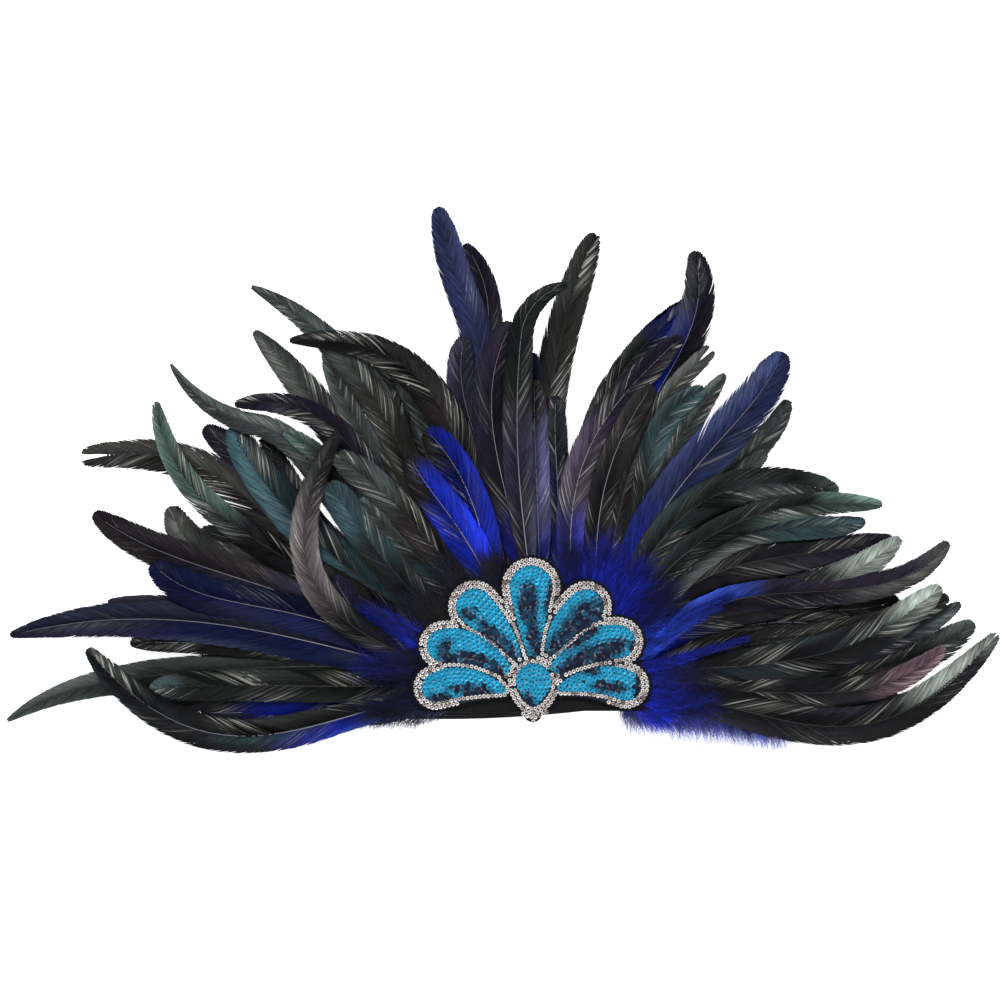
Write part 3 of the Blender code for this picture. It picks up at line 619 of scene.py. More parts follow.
def make_barbs(feather, free, seed, rng):
    """Two facing combs in one mesh, and for each vertex its place in them and how it lies there.

    Number and rank count the bundles from the root, and bundle tells the two sides apart as well.
    Inner goes across a bundle, reach outwards along it and ridge upwards."""
    count = max(int(free / BUNDLE_PITCH), FEWEST_BUNDLES)
    vane, _, number = make_comb(barb_bundle, "vane", count)
    mirror_across(vane)
    raw = points_of(vane.data)
    number = np.tile(number, 2)
    side = np.sign(raw[:, 1])
    bundle = number + count * (side > 0)
    rank = (number + 0.5) / count
    wear = np.abs(rng.normal(0.0, EDGE_WEAR, 2 * count)) * (NEAT_WEAR + RAGGED_WEAR * feather.ragged)
    waves = np.sin(rank * rng.uniform(*WAVE_PACES) + rng.uniform(0.0, 6.0) + side * 1.3)
    smooth = side == feather.half
    ruffle = feather.streak * np.clip(waves * RUFFLE_GAIN - RUFFLE_FROM, 0.0, 1.0)
    opened = np.zeros(len(raw))
    for _ in range(1 + int(feather.ragged * SPLITS)):
        at, on = rng.uniform(*SPLIT_PLACES), rng.choice((-1.0, 1.0))
        near = np.exp(-np.abs(rank - at) / SPLIT_REACH) * (side == on)
        opened += rng.uniform(*SPLIT_SIZES) * SPLIT_WIDTH * free * np.sign(rank - at) * near
    slipped = rng.uniform(0.0, 1.0, 2 * count)[bundle] < SLIPPED_SHARE
    return vane, Comb(
        count, number, inner=raw[:, 0] - number - 0.5, ridge=raw[:, 2], side=side,
        reach=np.clip(np.abs(raw[:, 1]) - ROD_START, 0.0, 1.0), bundle=bundle, rank=rank,
        trim=(1.0 - wear)[bundle], waves=waves, smooth=smooth,
        ruffle=ruffle * np.where(smooth, SMOOTH_RUFFLE, 1.0), opened=opened,
        proud=(number + slipped) % COMB_STEP == seed % COMB_STEP)


# %% [markdown]
# On a real vane shade falls beside the shaft and between ruffled barbs, and soft folds run
# across it; here these are painted into the colour as darker and lighter bands. One half often
# lies a little steeper, so it is lighter or darker as a whole, and that is painted light and shade
# too. Plumage also has an iridescent cast that comes and goes, green, violet or grey, which is
# painted in as a sheen that does not follow the light. Light catches the ridges of proud bundles
# over a part of their length, painted here as glints. The factors before seed, and the paces of
# the waves, only make neighbouring feathers differ.

# %% Colours of a vane
HALF_SHIFT = 0.12             # how much longer the smooth half keeps the root's dye
FOLD_LIGHT_SLANT = 2.6              # painted bands of light and shade, as from soft folds, run slantwise
FOLD_LIGHT_PACE = 6.0               # and follow each other at this pace
FOLD_LIGHT_DEPTH = 0.42             # how much painted shade and light they give
DYE_UNEVEN = 0.05             # how unevenly bundles took the dye
RUFFLE_SHADE = 0.5            # how much painted shade darkens ruffled zones
SMOOTH_HALF_LIGHT = 0.32              # how much lighter the smooth half is painted, as if it caught more light
HALF_LIGHT_SPREAD = 0.2                # and by how much painted light may make the halves of any feather differ
SHAFT_SHADE = 0.30            # how much painted shade darkens the vane beside the shaft
SHAFT_SHADE_REACH = 0.22      # and up to which share of the half width
BETWEEN_SHADE = 0.35          # how much painted shade darkens the bundles between proud ones
LIT_AT = 0.55                 # share of a bundle where its painted highlight is brightest
LIT_WANDER = 0.20             # how far that place wanders along the vane
LIT_SPREAD = 0.12             # and from bundle to bundle
ZONE_WAVES = 0.9              # lit zones keep mostly to the ruffled ones
ZONE_BASE = 0.5               # and are wider
SMOOTH_GLINT = 0.4            # share of the glints that the smooth half has
GLINTS = (0.3, 1.15)          # how bright the painted glint of a proud bundle is
BETWEEN_GLINT = 0.4           # share of it that the others have
GLINT_LENGTHS = (0.25, 0.50)  # how long glints are, as a share of the bundle
# Painted iridescent sheen: colours that the dye drifts towards in slow waves
SHEEN_CAST_DYES = ("slate", "grape", "olive", "teal", "plum", "umber")
SHEEN_CAST_SHARE = 0.35             # most of the dye that the painted sheen replaces


def barb_colours(feather, comb, share, seed, rng):
    """Dyed colour of each place on a vane with its painted shade, light and sheen, and how much painted
    glint it has.
    """
    rank, reach, side, own = comb.rank, comb.reach, comb.side, 2 * comb.count
    dyes = (feather.root_dye, feather.dye, feather.tip_dye)
    at = share - HALF_SHIFT * feather.half * side
    colours = blend_dyes(dyes, feather.root_to, feather.tip_from, at)
    # Painted light and shade of soft folds across the vane
    fold_light = np.sin(reach * side * FOLD_LIGHT_SLANT + share * FOLD_LIGHT_PACE + 1.3 * seed)
    uneven = rng.normal(0.0, DYE_UNEVEN, own)[comb.bundle]
    # Uneven dye, with painted shade in ruffled zones and the painted light and shade of folds
    shade = np.exp(uneven - RUFFLE_SHADE * comb.ruffle + FOLD_LIGHT_DEPTH * fold_light)
    # Painted light: one half of the vane lighter than the other
    shade = shade * (1.0 + (SMOOTH_HALF_LIGHT * feather.half + HALF_LIGHT_SPREAD * math.sin(2.4 * seed)) * side)
    # Painted shade beside the shaft
    shade = shade * (1.0 - SHAFT_SHADE * np.exp(-(reach / SHAFT_SHADE_REACH) ** 2))
    # Painted highlights: where along each proud bundle a glint in the pale streak colour lies, and how
    # bright
    lit = LIT_AT + LIT_WANDER * np.sin(rank * 21.0 + seed)
    lit = lit + rng.normal(0.0, LIT_SPREAD, own)[comb.bundle]
    zone = np.sin(rank * 17.0 + 1.9 * seed + side) + ZONE_WAVES * comb.waves + ZONE_BASE
    zone = feather.streak ** 0.5 * np.clip(zone, 0.0, 1.0) * np.where(comb.smooth, SMOOTH_GLINT, 1.0)
    # Painted shade between proud bundles
    shade = shade * (1.0 - BETWEEN_SHADE * zone * ~comb.proud)
    picked = rng.uniform(*GLINTS, own)[comb.bundle] * np.where(comb.proud, 1.0, BETWEEN_GLINT)
    length = rng.uniform(*GLINT_LENGTHS, own)[comb.bundle]
    glint = np.clip(zone * picked, 0.0, 1.0) * np.exp(-((reach - lit) / length) ** 2)
    # Painted iridescent sheen, coming and going along the vane
    hue = np.sin(rank * 9.0 + 2.1 * seed) * np.sin(reach * 3.0 + side * 1.7 + seed)
    cast = dye_colour(SHEEN_CAST_DYES[seed % len(SHEEN_CAST_DYES)])
    colours = colours + (cast - colours) * (SHEEN_CAST_SHARE * np.clip(hue, 0.0, 1.0))[:, None]
    return colours * shade[:, None], glint * (comb.ridge > 0.0)


# %% [markdown]
# The vane is put together from its combs, its line and its colours, and the shaft is laid on top
# of it. A shaft is thick at the root, thin at the tip and a little flattened, and one that was
# bleached for a blue dye stays pale.

# %% Vanes and shafts
LAP = 2.1                     # width of a bundle, in distances to the next
NARROWEST = 0.25              # least of these distances, in mm
RUFFLE_NARROWS = 0.4          # how much narrower ruffled bundles are
EDGE_NARROWS = 0.4            # how much narrower a bundle is at its end
PROUD_WIDTHS = (0.2, 0.8)     # how much wider proud bundles are
JITTER = 0.35                 # how far ruffled bundles lie off their place, in pitches
JITTER_CURVE = 1.5            # power by which that and the splits grow outwards
CAMBER = 0.15                 # how far the edges of a vane droop
RIDGE_SMOOTH = 0.05           # height of a ridge in a smooth zone, in mm
RIDGE_RUFFLED = 0.70          # what ruffling adds to it
RIDGE_FALL = 0.5              # share of it that is lost towards the edge
TILE_SMOOTH = 0.10            # how far a bundle rises over the next one, in mm
TILE_RUFFLED = 0.25           # and what ruffling adds
LOOSE_SMOOTH = 0.01           # how far bundles stand off the vane at random, in mm
LOOSE_RUFFLED = 0.22          # and what ruffling adds
PROUD_RISE = 0.22             # how far proud bundles stand up, in mm
EDGE_SWELL = 0.45             # how far the edge waves up and down, in mm
FORK_FROM = 0.92              # share of the vane where a forked tip begins
MAP_ACROSS = 0.9              # width of a bundle on the UV map, in pitches
BARB_LENGTH = 2.3             # length of a bundle there, in half widths
QUILL_INSIDE = 0.03           # share of the vane that the shaft goes into the felt
QUILL_END = 0.96              # share of the vane where it ends
QUILL_THICKNESS = (0.75, 0.38, 0.12)  # at the root, in the middle and at the tip, in mm
QUILL_FLATNESS = 0.7          # height over width
QUILL_RISE = 0.12             # how far it lies above the vane's middle, in mm


def make_vane(feather, shape, seed):
    """The barbs of one feather."""
    lengths, edge = shape[1:]
    free = lengths[-1] - edge
    rng = np.random.default_rng(seed)
    vane, comb = make_barbs(feather, free, seed, rng)
    inner, side, reach, rank, ruffle = comb.inner, comb.side, comb.reach, comb.rank, comb.ruffle
    own = 2 * comb.count
    line = partial(barb_line, feather, free)
    places = line(rank, reach)
    forward = line(rank, reach + 0.02) - line(rank, reach - 0.02)
    forward /= np.hypot(forward[:, 0], forward[:, 1])[:, None]
    step = line(rank + 0.5 / comb.count, reach) - line(rank - 0.5 / comb.count, reach)
    spacing = np.abs(step[:, 0] * forward[:, 1] - step[:, 1] * forward[:, 0])
    width = np.maximum(spacing, NARROWEST) * LAP
    width = width * (1.0 - RUFFLE_NARROWS * ruffle) * (1.0 - EDGE_NARROWS * reach ** 6)
    width *= 1.0 + rng.uniform(*PROUD_WIDTHS, own)[comb.bundle] * comb.proud * ruffle
    opened = comb.opened + rng.normal(0.0, JITTER * BUNDLE_PITCH, own)[comb.bundle] * ruffle
    along = places[:, 0] + opened * reach ** JITTER_CURVE + inner * width * forward[:, 1]
    across = side * (places[:, 1] * comb.trim - inner * width * forward[:, 0])
    share = along / free
    across += side * feather.fork * np.clip((share - FORK_FROM) / (1.0 - FORK_FROM), 0.0, 1.0)
    half = np.maximum(line(rank, np.ones(len(rank)))[:, 1], 0.5)
    loose = rng.normal(0.0, 1.0, own)[comb.bundle] * reach
    rise = (comb.ridge * (RIDGE_SMOOTH + RIDGE_RUFFLED * ruffle) * (1.0 - RIDGE_FALL * reach)
            - CAMBER * across ** 2 / half
            + inner * (TILE_SMOOTH + TILE_RUFFLED * ruffle)
            + loose * (LOOSE_SMOOTH + LOOSE_RUFFLED * ruffle)
            + PROUD_RISE * comb.proud * ruffle
            + EDGE_SWELL * np.sin(rank * 15.0 + seed) * reach)
    set_places(vane.data, lay_on_shaft(feather, shape, share, across, rise))
    colours, glint = barb_colours(feather, comb, share, seed, rng)
    drop_uvs(vane)
    # No two feathers or sides lie on the same part of the map
    walked = (comb.number + 0.5 + inner * MAP_ACROSS) * BUNDLE_PITCH + seed * 7.0 + side * 300.0
    set_looks(vane.data, colours, ruffle, np.column_stack((walked, reach * half * BARB_LENGTH)))
    glints = vane.data.attributes.new("glint", "FLOAT", "POINT")
    glints.data.foreach_set("value", glint)
    return vane


def make_quill(feather, shape):
    """The shaft of one feather, tapering to the tip."""
    quill = copy_of(quill_rod, "quill")
    raw = points_of(quill.data)
    end = FORK_FROM if feather.fork else QUILL_END
    share = -QUILL_INSIDE + (end + QUILL_INSIDE) * np.clip(raw[:, 1] - ROD_START, 0.0, 1.0)
    thick = np.interp(share, (0.0, 0.5, 1.0), QUILL_THICKNESS)
    across = (0.5 - raw[:, 0]) * thick
    rise = raw[:, 2] * thick * QUILL_FLATNESS + QUILL_RISE
    set_places(quill.data, lay_on_shaft(feather, shape, share, across, rise))
    bleached = BLEACHED & {feather.root_dye, feather.dye}
    colour = dye_colour("quill_pale" if bleached else "quill_dark")
    drop_uvs(quill)
    set_looks(quill.data, np.tile(colour, (len(raw), 1)), np.zeros(len(raw)),
              np.column_stack((share, across)))
    return quill


# %% [markdown]
# Dyed coque feather is keratin with a hard gloss. The highlight takes the green, violet or blue
# cast of the plumage, so there is one finish for each cast and the dye itself is read from the
# mesh. Real barbs lie about half a millimetre apart, too fine for the render, so they are drawn
# about a millimetre apart, as noise stretched along the barbs, in colour, gloss and relief.

# %% Feather finishes
CASTS = {"green": "#E8EBE9", "violet": "#DDD6EA", "blue": "#A9BCFF"}
VIOLET_DYES = ("plum", "grape", "heather", "violet", "mauve", "rose")
BLUE_DYES = ("navy", "night", "royal", "bright")
CAST_OF_DYE = {**dict.fromkeys(VIOLET_DYES, "violet"), **dict.fromkeys(BLUE_DYES, "blue")}
BARB_SPACING_MM = 1.1
BARB_STRETCH = 0.10           # so the lines are some nine times longer than wide
GLOSS_LOW = 0.32              # roughness where a barb is glossy
GLOSS_HIGH = 0.5              # and where it is dull
GLINT_POWER = 1.6             # above 1, so that glints fade out softly


def barb_material(name, cast):
    """Dyed barbs: colour from the mesh, fine lines along each bundle, and a painted highlight on glinting
    ridges.
    """
    finish, tree, shader = new_material(
        name, Specular_IOR_Level=0.14, Specular_Tint=to_linear(cast))
    dye = add_node(tree, "ShaderNodeAttribute", attribute_name="dye")
    place = add_node(tree, "ShaderNodeUVMap", uv_map="barbs")
    scale = (1.0 / BARB_SPACING_MM, BARB_STRETCH, 1.0)
    barbs = add_node(tree, "ShaderNodeMapping", {"Vector": place.outputs["UV"], "Scale": scale})
    lines = add_node(tree, "ShaderNodeTexNoise", {
        "Vector": barbs.outputs["Vector"], "Scale": 1.0, "Detail": 3.0})
    # Noise seldom leaves the range from 0.3 to 0.7
    span = {"Value": lines.outputs["Fac"], "From Min": 0.3, "From Max": 0.7}
    calm = add_node(tree, "ShaderNodeMapRange", {**span, "To Min": 0.40, "To Max": 1.7})
    wild = add_node(tree, "ShaderNodeMapRange", {**span, "To Min": 0.15, "To Max": 2.1})
    tone = add_node(tree, "ShaderNodeMix", {
        "Factor": dye.outputs["Alpha"], "A": calm.outputs["Result"], "B": wild.outputs["Result"]})
    tinted = add_node(tree, "ShaderNodeVectorMath", {
        0: dye.outputs["Color"], "Scale": tone.outputs["Result"]}, operation="SCALE")
    # Painted highlight: where the glint attribute is high, the pale streak colour replaces the dye
    glint = add_node(tree, "ShaderNodeAttribute", attribute_name="glint")
    line = add_node(tree, "ShaderNodeMath", {
        0: glint.outputs["Fac"], 1: GLINT_POWER}, operation="POWER")
    lit = add_node(tree, "ShaderNodeMix", {
        "Factor": line.outputs["Value"], "A": tinted.outputs["Vector"], "B": to_linear(DYES["streak"])},
        data_type="RGBA")
    tree.links.new(lit.outputs["Result"], shader.inputs["Base Color"])
    gloss = add_node(tree, "ShaderNodeMapRange", {**span, "To Min": GLOSS_LOW, "To Max": GLOSS_HIGH})
    tree.links.new(gloss.outputs["Result"], shader.inputs["Roughness"])
    depth = add_node(tree, "ShaderNodeMapRange", {
        "Value": dye.outputs["Alpha"], "To Min": 0.25, "To Max": 1.0})
    height = add_node(tree, "ShaderNodeMath", {
        0: lines.outputs["Fac"], 1: depth.outputs["Result"]}, operation="MULTIPLY")
    relief = add_node(tree, "ShaderNodeBump", {
        "Height": height.outputs["Value"], "Strength": 0.6, "Distance": 0.0002})
    tree.links.new(relief.outputs["Normal"], shader.inputs["Normal"])
    return finish


def dyed_material(name, **constants):
    """A material whose colour is the mesh's own dye, for pieces whose detail is in the mesh."""
    finish, tree, shader = new_material(name, **constants)
    dye = add_node(tree, "ShaderNodeAttribute", attribute_name="dye")
    tree.links.new(dye.outputs["Color"], shader.inputs["Base Color"])
    return finish


vane_finishes = {cast: barb_material(f"dyed_coque_{cast}_cast", hex_code)
                 for cast, hex_code in CASTS.items()}

# Quill: smooth keratin, dyed with the feather
quill_finish = dyed_material("feather_quill_keratin", Roughness=0.55)

# Wool felt: matt and slightly furry, so it stays black under the lights
FIBRE_SPACING = 0.4 * MM
felt_finish, tree, shader = new_material(
    "black_wool_felt", Base_Color=to_linear("#141416"), Roughness=0.95, Specular_IOR_Level=0.2)
place = add_node(tree, "ShaderNodeTexCoord")
fibres = add_node(tree, "ShaderNodeTexNoise", {
    "Vector": place.outputs["Object"], "Scale": 1.0 / FIBRE_SPACING, "Detail": 4.0})
relief = add_node(tree, "ShaderNodeBump", {
    "Height": fibres.outputs["Fac"], "Strength": 0.6, "Distance": 0.0003})
tree.links.new(relief.outputs["Normal"], shader.inputs["Normal"])
print("feather finishes", len(vane_finishes))


# %% [markdown]
# Each row of feathers is glued to its own half-round felt base. The base is a round plate that
# is cut straight along its lower edge, and the feathers of its row are joined to it. The piece
# takes the place of its solid, which stays for the physics.

# %% Felt bases and rows of feathers
def felt_base(row):
    """A half-round felt base."""
    bpy.ops.object.select_all(action="DESELECT")
    middle = BAND_HEIGHT + GAP + BASE_THICK / 2.0 + row * ROW_PITCH
    bpy.ops.mesh.primitive_cylinder_add(
        vertices=64, radius=1.0, depth=BASE_THICK * MM,
        location=(BASE_CENTRE[0] * MM, BASE_CENTRE[1] * MM, middle * MM))
    base = bpy.context.object
    base.scale = (BASE_RADII[0] * MM, BASE_RADII[1] * MM, 1.0)
    bpy.ops.object.transform_apply(location=True, rotation=True, scale=True)
    bpy.ops.object.mode_set(mode="EDIT")
    bpy.ops.mesh.select_all(action="SELECT")
    bpy.ops.mesh.bisect(plane_co=(0.0, BASE_LOW_Y * MM, 0.0), plane_no=(0.0, 1.0, 0.0),
                        clear_inner=True, use_fill=True)
    bpy.ops.object.mode_set(mode="OBJECT")
    drop_uvs(base)
    base.data.materials.append(felt_finish)
    return base


added = 0
for row in range(1, FEATHER_ROWS + 1):
    parts = [felt_base(row)]
    for seed, feather in enumerate(FEATHERS):
        if feather.row == row:
            shape = shaft_line(feather)
            vane = make_vane(feather, shape, seed)
            vane.data.materials.append(vane_finishes[CAST_OF_DYE.get(feather.dye, "green")])
            quill = make_quill(feather, shape)
            quill.data.materials.append(quill_finish)
            parts += [vane, quill]
    plumes = join(parts, f"plumes_{row:02d}")
    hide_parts(f"feather_row_{row:02d}")
    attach(plumes, "root")
    added += triangles(plumes)
print("plumes hold", added, "triangles")

# %% [markdown]
# The fluff round the palmette is the soft lower part of the feathers: barbs without hooks, which
# stand apart like hair. Each tuft has a narrow vane for its dense middle and hairs that leave it
# on both sides. Along the lower edge they stand out far and turn pale at their ends. Each tuft has
# a line in one of two tables: where it is rooted, where it points, how far it reaches, how wide
# it is, its two dyes, how far its hairs lean from its middle and how long they are, in mm.

# %% Tables of tufts
Tuft = namedtuple("Tuft", "x y heading reach width dye tip_dye lean hair")
UPPER_TUFTS = [Tuft(*line) for line in (
    (46, -10, -24, 12, 12, "bright", "bright", 35, 7), (50, -9, -8, 34, 15, "bright", "navy", 30, 13),
    (54, 0, 4, 30, 14, "royal", "umber", 24, 13), (55, 6, 17, 62, 5, "bright", "royal", 6, 5),
    (50, 17, 29, 62, 11, "sapphire", "royal", 6, 7), (46, 25, 44, 32, 17, "royal", "navy", 26, 15),
    (37, 34, 58, 30, 15, "bright", "royal", 26, 15), (27, 42, 72, 28, 15, "bright", "royal", 26, 15),
    (14, 50, 82, 22, 14, "royal", "navy", 26, 13), (-22, 47, 105, 18, 13, "navy", "umber", 26, 12),
    (-38, 40, 124, 24, 15, "umber", "navy", 26, 13), (-50, 29, 143, 26, 16, "umber", "navy", 26, 14),
    (-58, 18, 148, 40, 10, "bright", "royal", 12, 9), (-60, 4, 170, 34, 13, "navy", "royal", 26, 13),
    (-56, -10, 190, 30, 14, "navy", "navy", 32, 11),
)]
LOWER_TUFTS = [Tuft(*line) for line in (
    (-46, -12, 190, 44, 12, "navy", "royal", 62, 3.5), (-57, -9, 187, 84, 12, "royal", "bright", 30, 6),
    (57, -7, -6, 84, 13, "sapphire", "sapphire", -66, 12),
    (50, -12, -9, 80, 10, "sapphire", "sapphire", -68, 13),
    (36, -13, -6, 28, 5, "sapphire", "sapphire", -72, 9),
)]
print("tufts", len(UPPER_TUFTS) + len(LOWER_TUFTS))

# %% [markdown]
# One hair is a thin three-sided rod, and an array repeats it for a whole felt base before all are
# laid. Real down clings together in clumps, so hairs that are rooted near each other share a bend
# and a tone.

# %% Hairs of down
HAIRS = 12800                 # for each of the two felt bases
HAIR_PARTS = 2                # lengths that a hair bends between
HAIR_FROM = 0.20              # how far before the felt's edge they begin, as a share of the reach
HAIR_SPAN = 1.17              # and over which share they are spread
HAIR_SHADE = 0.40             # how much their tones differ
HAIR_THICK = 0.16             # what the root of a hair has over its tip, in mm
HAIR_TIP = 0.07               # thickness of its tip, drawn thicker than it is so that it shows
HAIR_RISE = 0.2               # height of its root over the middle of its row, in mm
HAIR_STANDS = (0.3, 0.6)      # mean and spread of how high hairs arch
HAIR_ARCH = 1.6               # in units of so many mm
HAIR_LENGTHS = (0.5, 1.25)    # in lengths of the tuft's hair
HAIR_CURL = 0.25              # in radians
CLUMPS = 420                  # in each felt base
CLUMP_BEND = 0.22             # in radians
CLUMP_TONE = 0.45             # how much the tones of clumps differ
LEANS = (0.7, 1.2)            # in leans of the tuft's hair
RUFF_LEAN = 1.2               # so many times farther out the hairs of the ruff lean, to both sides
TUFT_HALF = 0.6               # half width of the planted strip, in widths of the tuft
TUFT_VANE_REACH = 0.96        # length of the vane in the middle of a tuft, in reaches of the tuft
TUFT_VANE_WIDTH = 0.8         # and its width, in widths of the tuft


def tuft_feather(tuft, row):
    """The narrow vane in the middle of a tuft."""
    angle = math.radians(tuft.heading)
    steps = np.arange(PATH_STEPS + 1) * 2.0
    places = np.column_stack((tuft.x + steps * math.cos(angle), tuft.y + steps * math.sin(angle)))
    inside = inside_base(places)
    whole = (steps[inside].max() if inside.any() else 0.0) + tuft.reach * TUFT_VANE_REACH
    return Feather(
        row, tuft.x, tuft.y, tuft.x + whole * math.cos(angle), tuft.y + whole * math.sin(angle),
        bow_1=0, bow_2=0, bow_3=0, curl=0, width=tuft.width * TUFT_VANE_WIDTH, point=0.9,
        root_dye=tuft.dye, dye=tuft.dye, tip_dye=tuft.tip_dye, streak=0.2, half=0, ragged=0.8,
        tip_from=0.5)


def plant_hairs(tufts, row, seed, rng):
    """A vane for each tuft, and for all hairs their root, tuft, share of the reach and side."""
    vanes, roots, owners, shares, sides = [], [], [], [], []
    reach_sum = sum(tuft.reach for tuft in tufts)
    for owner, tuft in enumerate(tufts):
        feather = tuft_feather(tuft, row)
        shape = shaft_line(feather)
        vane = make_vane(feather, shape, seed + owner)
        vane.data.materials.append(down_finish)
        vanes.append(vane)
        planted = int(HAIRS * tuft.reach / reach_sum)
        share = rng.beta(1.0, 1.1, planted) * HAIR_SPAN - HAIR_FROM
        place, normal = along_shaft(shape, share)
        side = rng.uniform(-1.0, 1.0, planted)
        half = TUFT_HALF * tuft.width * np.clip(1.15 - share, 0.25, 1.0)
        roots.append(place + normal * (side * half)[:, None])
        owners.append(np.full(planted, owner))
        shares.append(share)
        sides.append(side)
    return vanes, *(np.concatenate(parts) for parts in (roots, owners, shares, sides))


def make_down(name, row, tufts, seed):
    """A felt base with its tufts: a vane for each, and all their hairs in one comb."""
    rng = np.random.default_rng(seed)
    vanes, roots, owner, share, side = plant_hairs(tufts, row, seed, rng)
    on_hem = row == 0
    total = len(roots)
    # A clump goes by tuft, share and side. The factors only shuffle the clumps
    clump = (rng.permutation(CLUMPS)[(share * 23.0).astype(int) * 7 % CLUMPS]
             + owner * 31 + (side * 4.0).astype(int) * 13) % CLUMPS
    bend = rng.normal(0.0, CLUMP_BEND, CLUMPS)[clump]
    tone = rng.normal(0.0, CLUMP_TONE, CLUMPS)[clump]
    heading = np.radians([tuft.heading for tuft in tufts])[owner]
    lean = np.radians([tuft.lean for tuft in tufts])[owner] * rng.uniform(*LEANS, total)
    if not on_hem:
        lean = lean * side * RUFF_LEAN
    length = np.array([tuft.hair for tuft in tufts])[owner] * rng.uniform(*HAIR_LENGTHS, total)
    curl = rng.normal(0.0, HAIR_CURL, total) - bend
    rise = rng.normal(*HAIR_STANDS, total)
    hairs, raw, number = make_comb(hair_rod, "hairs", total)
    reach = np.clip(raw[:, 1] - ROD_START, 0.0, 1.0)
    thick = HAIR_THICK * (1.0 - reach) + HAIR_TIP
    angle = (heading + lean + bend)[number] + curl[number] * reach
    run = length[number] * reach
    aside = (raw[:, 0] - number - 0.5) * thick
    place = roots[number] + np.column_stack((run * np.cos(angle) - aside * np.sin(angle),
                                             run * np.sin(angle) + aside * np.cos(angle)))
    height = (row_height(place[:, 0], place[:, 1], row) + HAIR_RISE + raw[:, 2] * thick
              + (rise * HAIR_ARCH)[number] * np.sin(reach * 2.4))
    set_places(hairs.data, np.column_stack((place, np.maximum(height, FLOOR_GAP))) * MM)
    first, last = (np.array([dye_colour(getattr(tuft, key)) for tuft in tufts])[owner]
                   for key in ("dye", "tip_dye"))
    colour = first + (last - first) * share[:, None]
    shade = np.exp(rng.normal(0.0, HAIR_SHADE, total) + tone)
    tint = (colour * shade[:, None])[number] * (0.75 + 0.5 * reach)[:, None]
    if on_hem:
        tint = tint + (dye_colour("frost") - tint) * np.clip(reach * 2.1 - 0.8, 0.0, 0.9)[:, None]
    drop_uvs(hairs)
    set_looks(hairs.data, tint, reach, np.column_stack((number * 1.0, run)))
    hairs.data.materials.append(down_finish)
    return join([felt_base(row), *vanes, hairs], name)


hair_rod = make_rod("hair_rod", 3, HAIR_PARTS)
# Down: matt barbs whose loose hooks catch light at the rim, which sheen gives
down_finish = dyed_material("dyed_down", Roughness=0.8, Specular_IOR_Level=0.15, Sheen_Weight=0.10)
for name, row, tufts, node in (("fluff_ruff", FEATHER_ROWS + 1, UPPER_TUFTS, "down_upper"),
                               ("fluff_hem", 0, LOWER_TUFTS, "down_lower")):
    fluff = make_down(name, row, tufts, row + 100)
    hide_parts(node)
    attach(fluff, "root")
    print(name, triangles(fluff), "triangles")

# %% [markdown]
# The head band is a loop of woven elastic. Its rubber cords lie about 1.6 mm apart along the
# band and the weft crosses them, which shows as fine ribs. The solid has the right shape already,
# so it keeps its mesh and only gets this material.

# %% Head band
RUBBER_SPACING = 1.6 * MM
WEFT_SPACING = 0.7 * MM
WEFT_SHARE = 0.35             # height of the weft ribs over that of the rubber
elastic_finish, tree, shader = new_material(
    "woven_elastic_webbing", Roughness=0.75, Specular_IOR_Level=0.3)
place = add_node(tree, "ShaderNodeTexCoord")
split = add_node(tree, "ShaderNodeSeparateXYZ", {"Vector": place.outputs["Object"]})
ribs = {}
for axis, spacing in (("Y", RUBBER_SPACING), ("X", WEFT_SPACING)):
    turns = add_node(tree, "ShaderNodeMath", {
        0: split.outputs[axis], 1: 2.0 * math.pi / spacing}, operation="MULTIPLY")
    ribs[axis] = add_node(tree, "ShaderNodeMath", {0: turns.outputs["Value"]}, operation="SINE")
weave = add_node(tree, "ShaderNodeMath", {
    0: ribs["X"].outputs["Value"], 1: WEFT_SHARE, 2: ribs["Y"].outputs["Value"]},
    operation="MULTIPLY_ADD")
shade = add_node(tree, "ShaderNodeMapRange", {
    "Value": weave.outputs["Value"], "From Min": -1.3, "From Max": 1.3, "To Min": 0.0, "To Max": 1.0})
mix = add_node(tree, "ShaderNodeMix", {
    "Factor": shade.outputs["Result"], "A": to_linear("#0E0E10"), "B": to_linear("#3C3C42")},
    data_type="RGBA")
tree.links.new(mix.outputs["Result"], shader.inputs["Base Color"])
relief = add_node(tree, "ShaderNodeBump", {
    "Height": weave.outputs["Value"], "Strength": 0.5, "Distance": 0.0002})
tree.links.new(relief.outputs["Normal"], shader.inputs["Normal"])
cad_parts["head_band"].data.materials[0] = elastic_finish
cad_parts["applique_backing"].data.materials[0] = felt_finish
print("band and backing dressed")

# %% [markdown]
# The palmette is sewn from cup sequins: thin foil rings pressed to a shallow cup with flat
# facets, each stitched so that it overlaps the next. One sequin is a ring of twelve facets,
# raised at its rim. Their places follow the petals: each petal runs round three circles, and a
# row of sequins is the same outline moved in or out.

# %% Palmette outlines
Petal = namedtuple("Petal", "end_x end_y end_r waist_x waist_y waist_r foot_x foot_y foot_r")
PETALS = [Petal(*line) for line in (
    (-57, -3, 7.7, -40, 0, 7.4, -21, -4, 2.0),
    (-53, 20, 8.8, -37, 18, 8.2, -20, 8, 3.8),
    (-36, 41, 9.9, -24, 29, 7.4, -14, 16, 3.3),
    (-5, 52, 11.5, -5, 35, 8.0, -4, 17, 3.3),
    (25, 41, 9.6, 14, 30, 8.0, 6, 18, 3.3),
    (43, 22, 8.8, 27, 19, 8.5, 9, 8, 3.3),
    (47, -2, 8.0, 31, 1, 7.0, 12, -3, 2.2),
)]
DROP = Petal(-3.7, 0.6, 9.5, -3.6, -4.5, 7.8, -4, -12.3, 1.2)
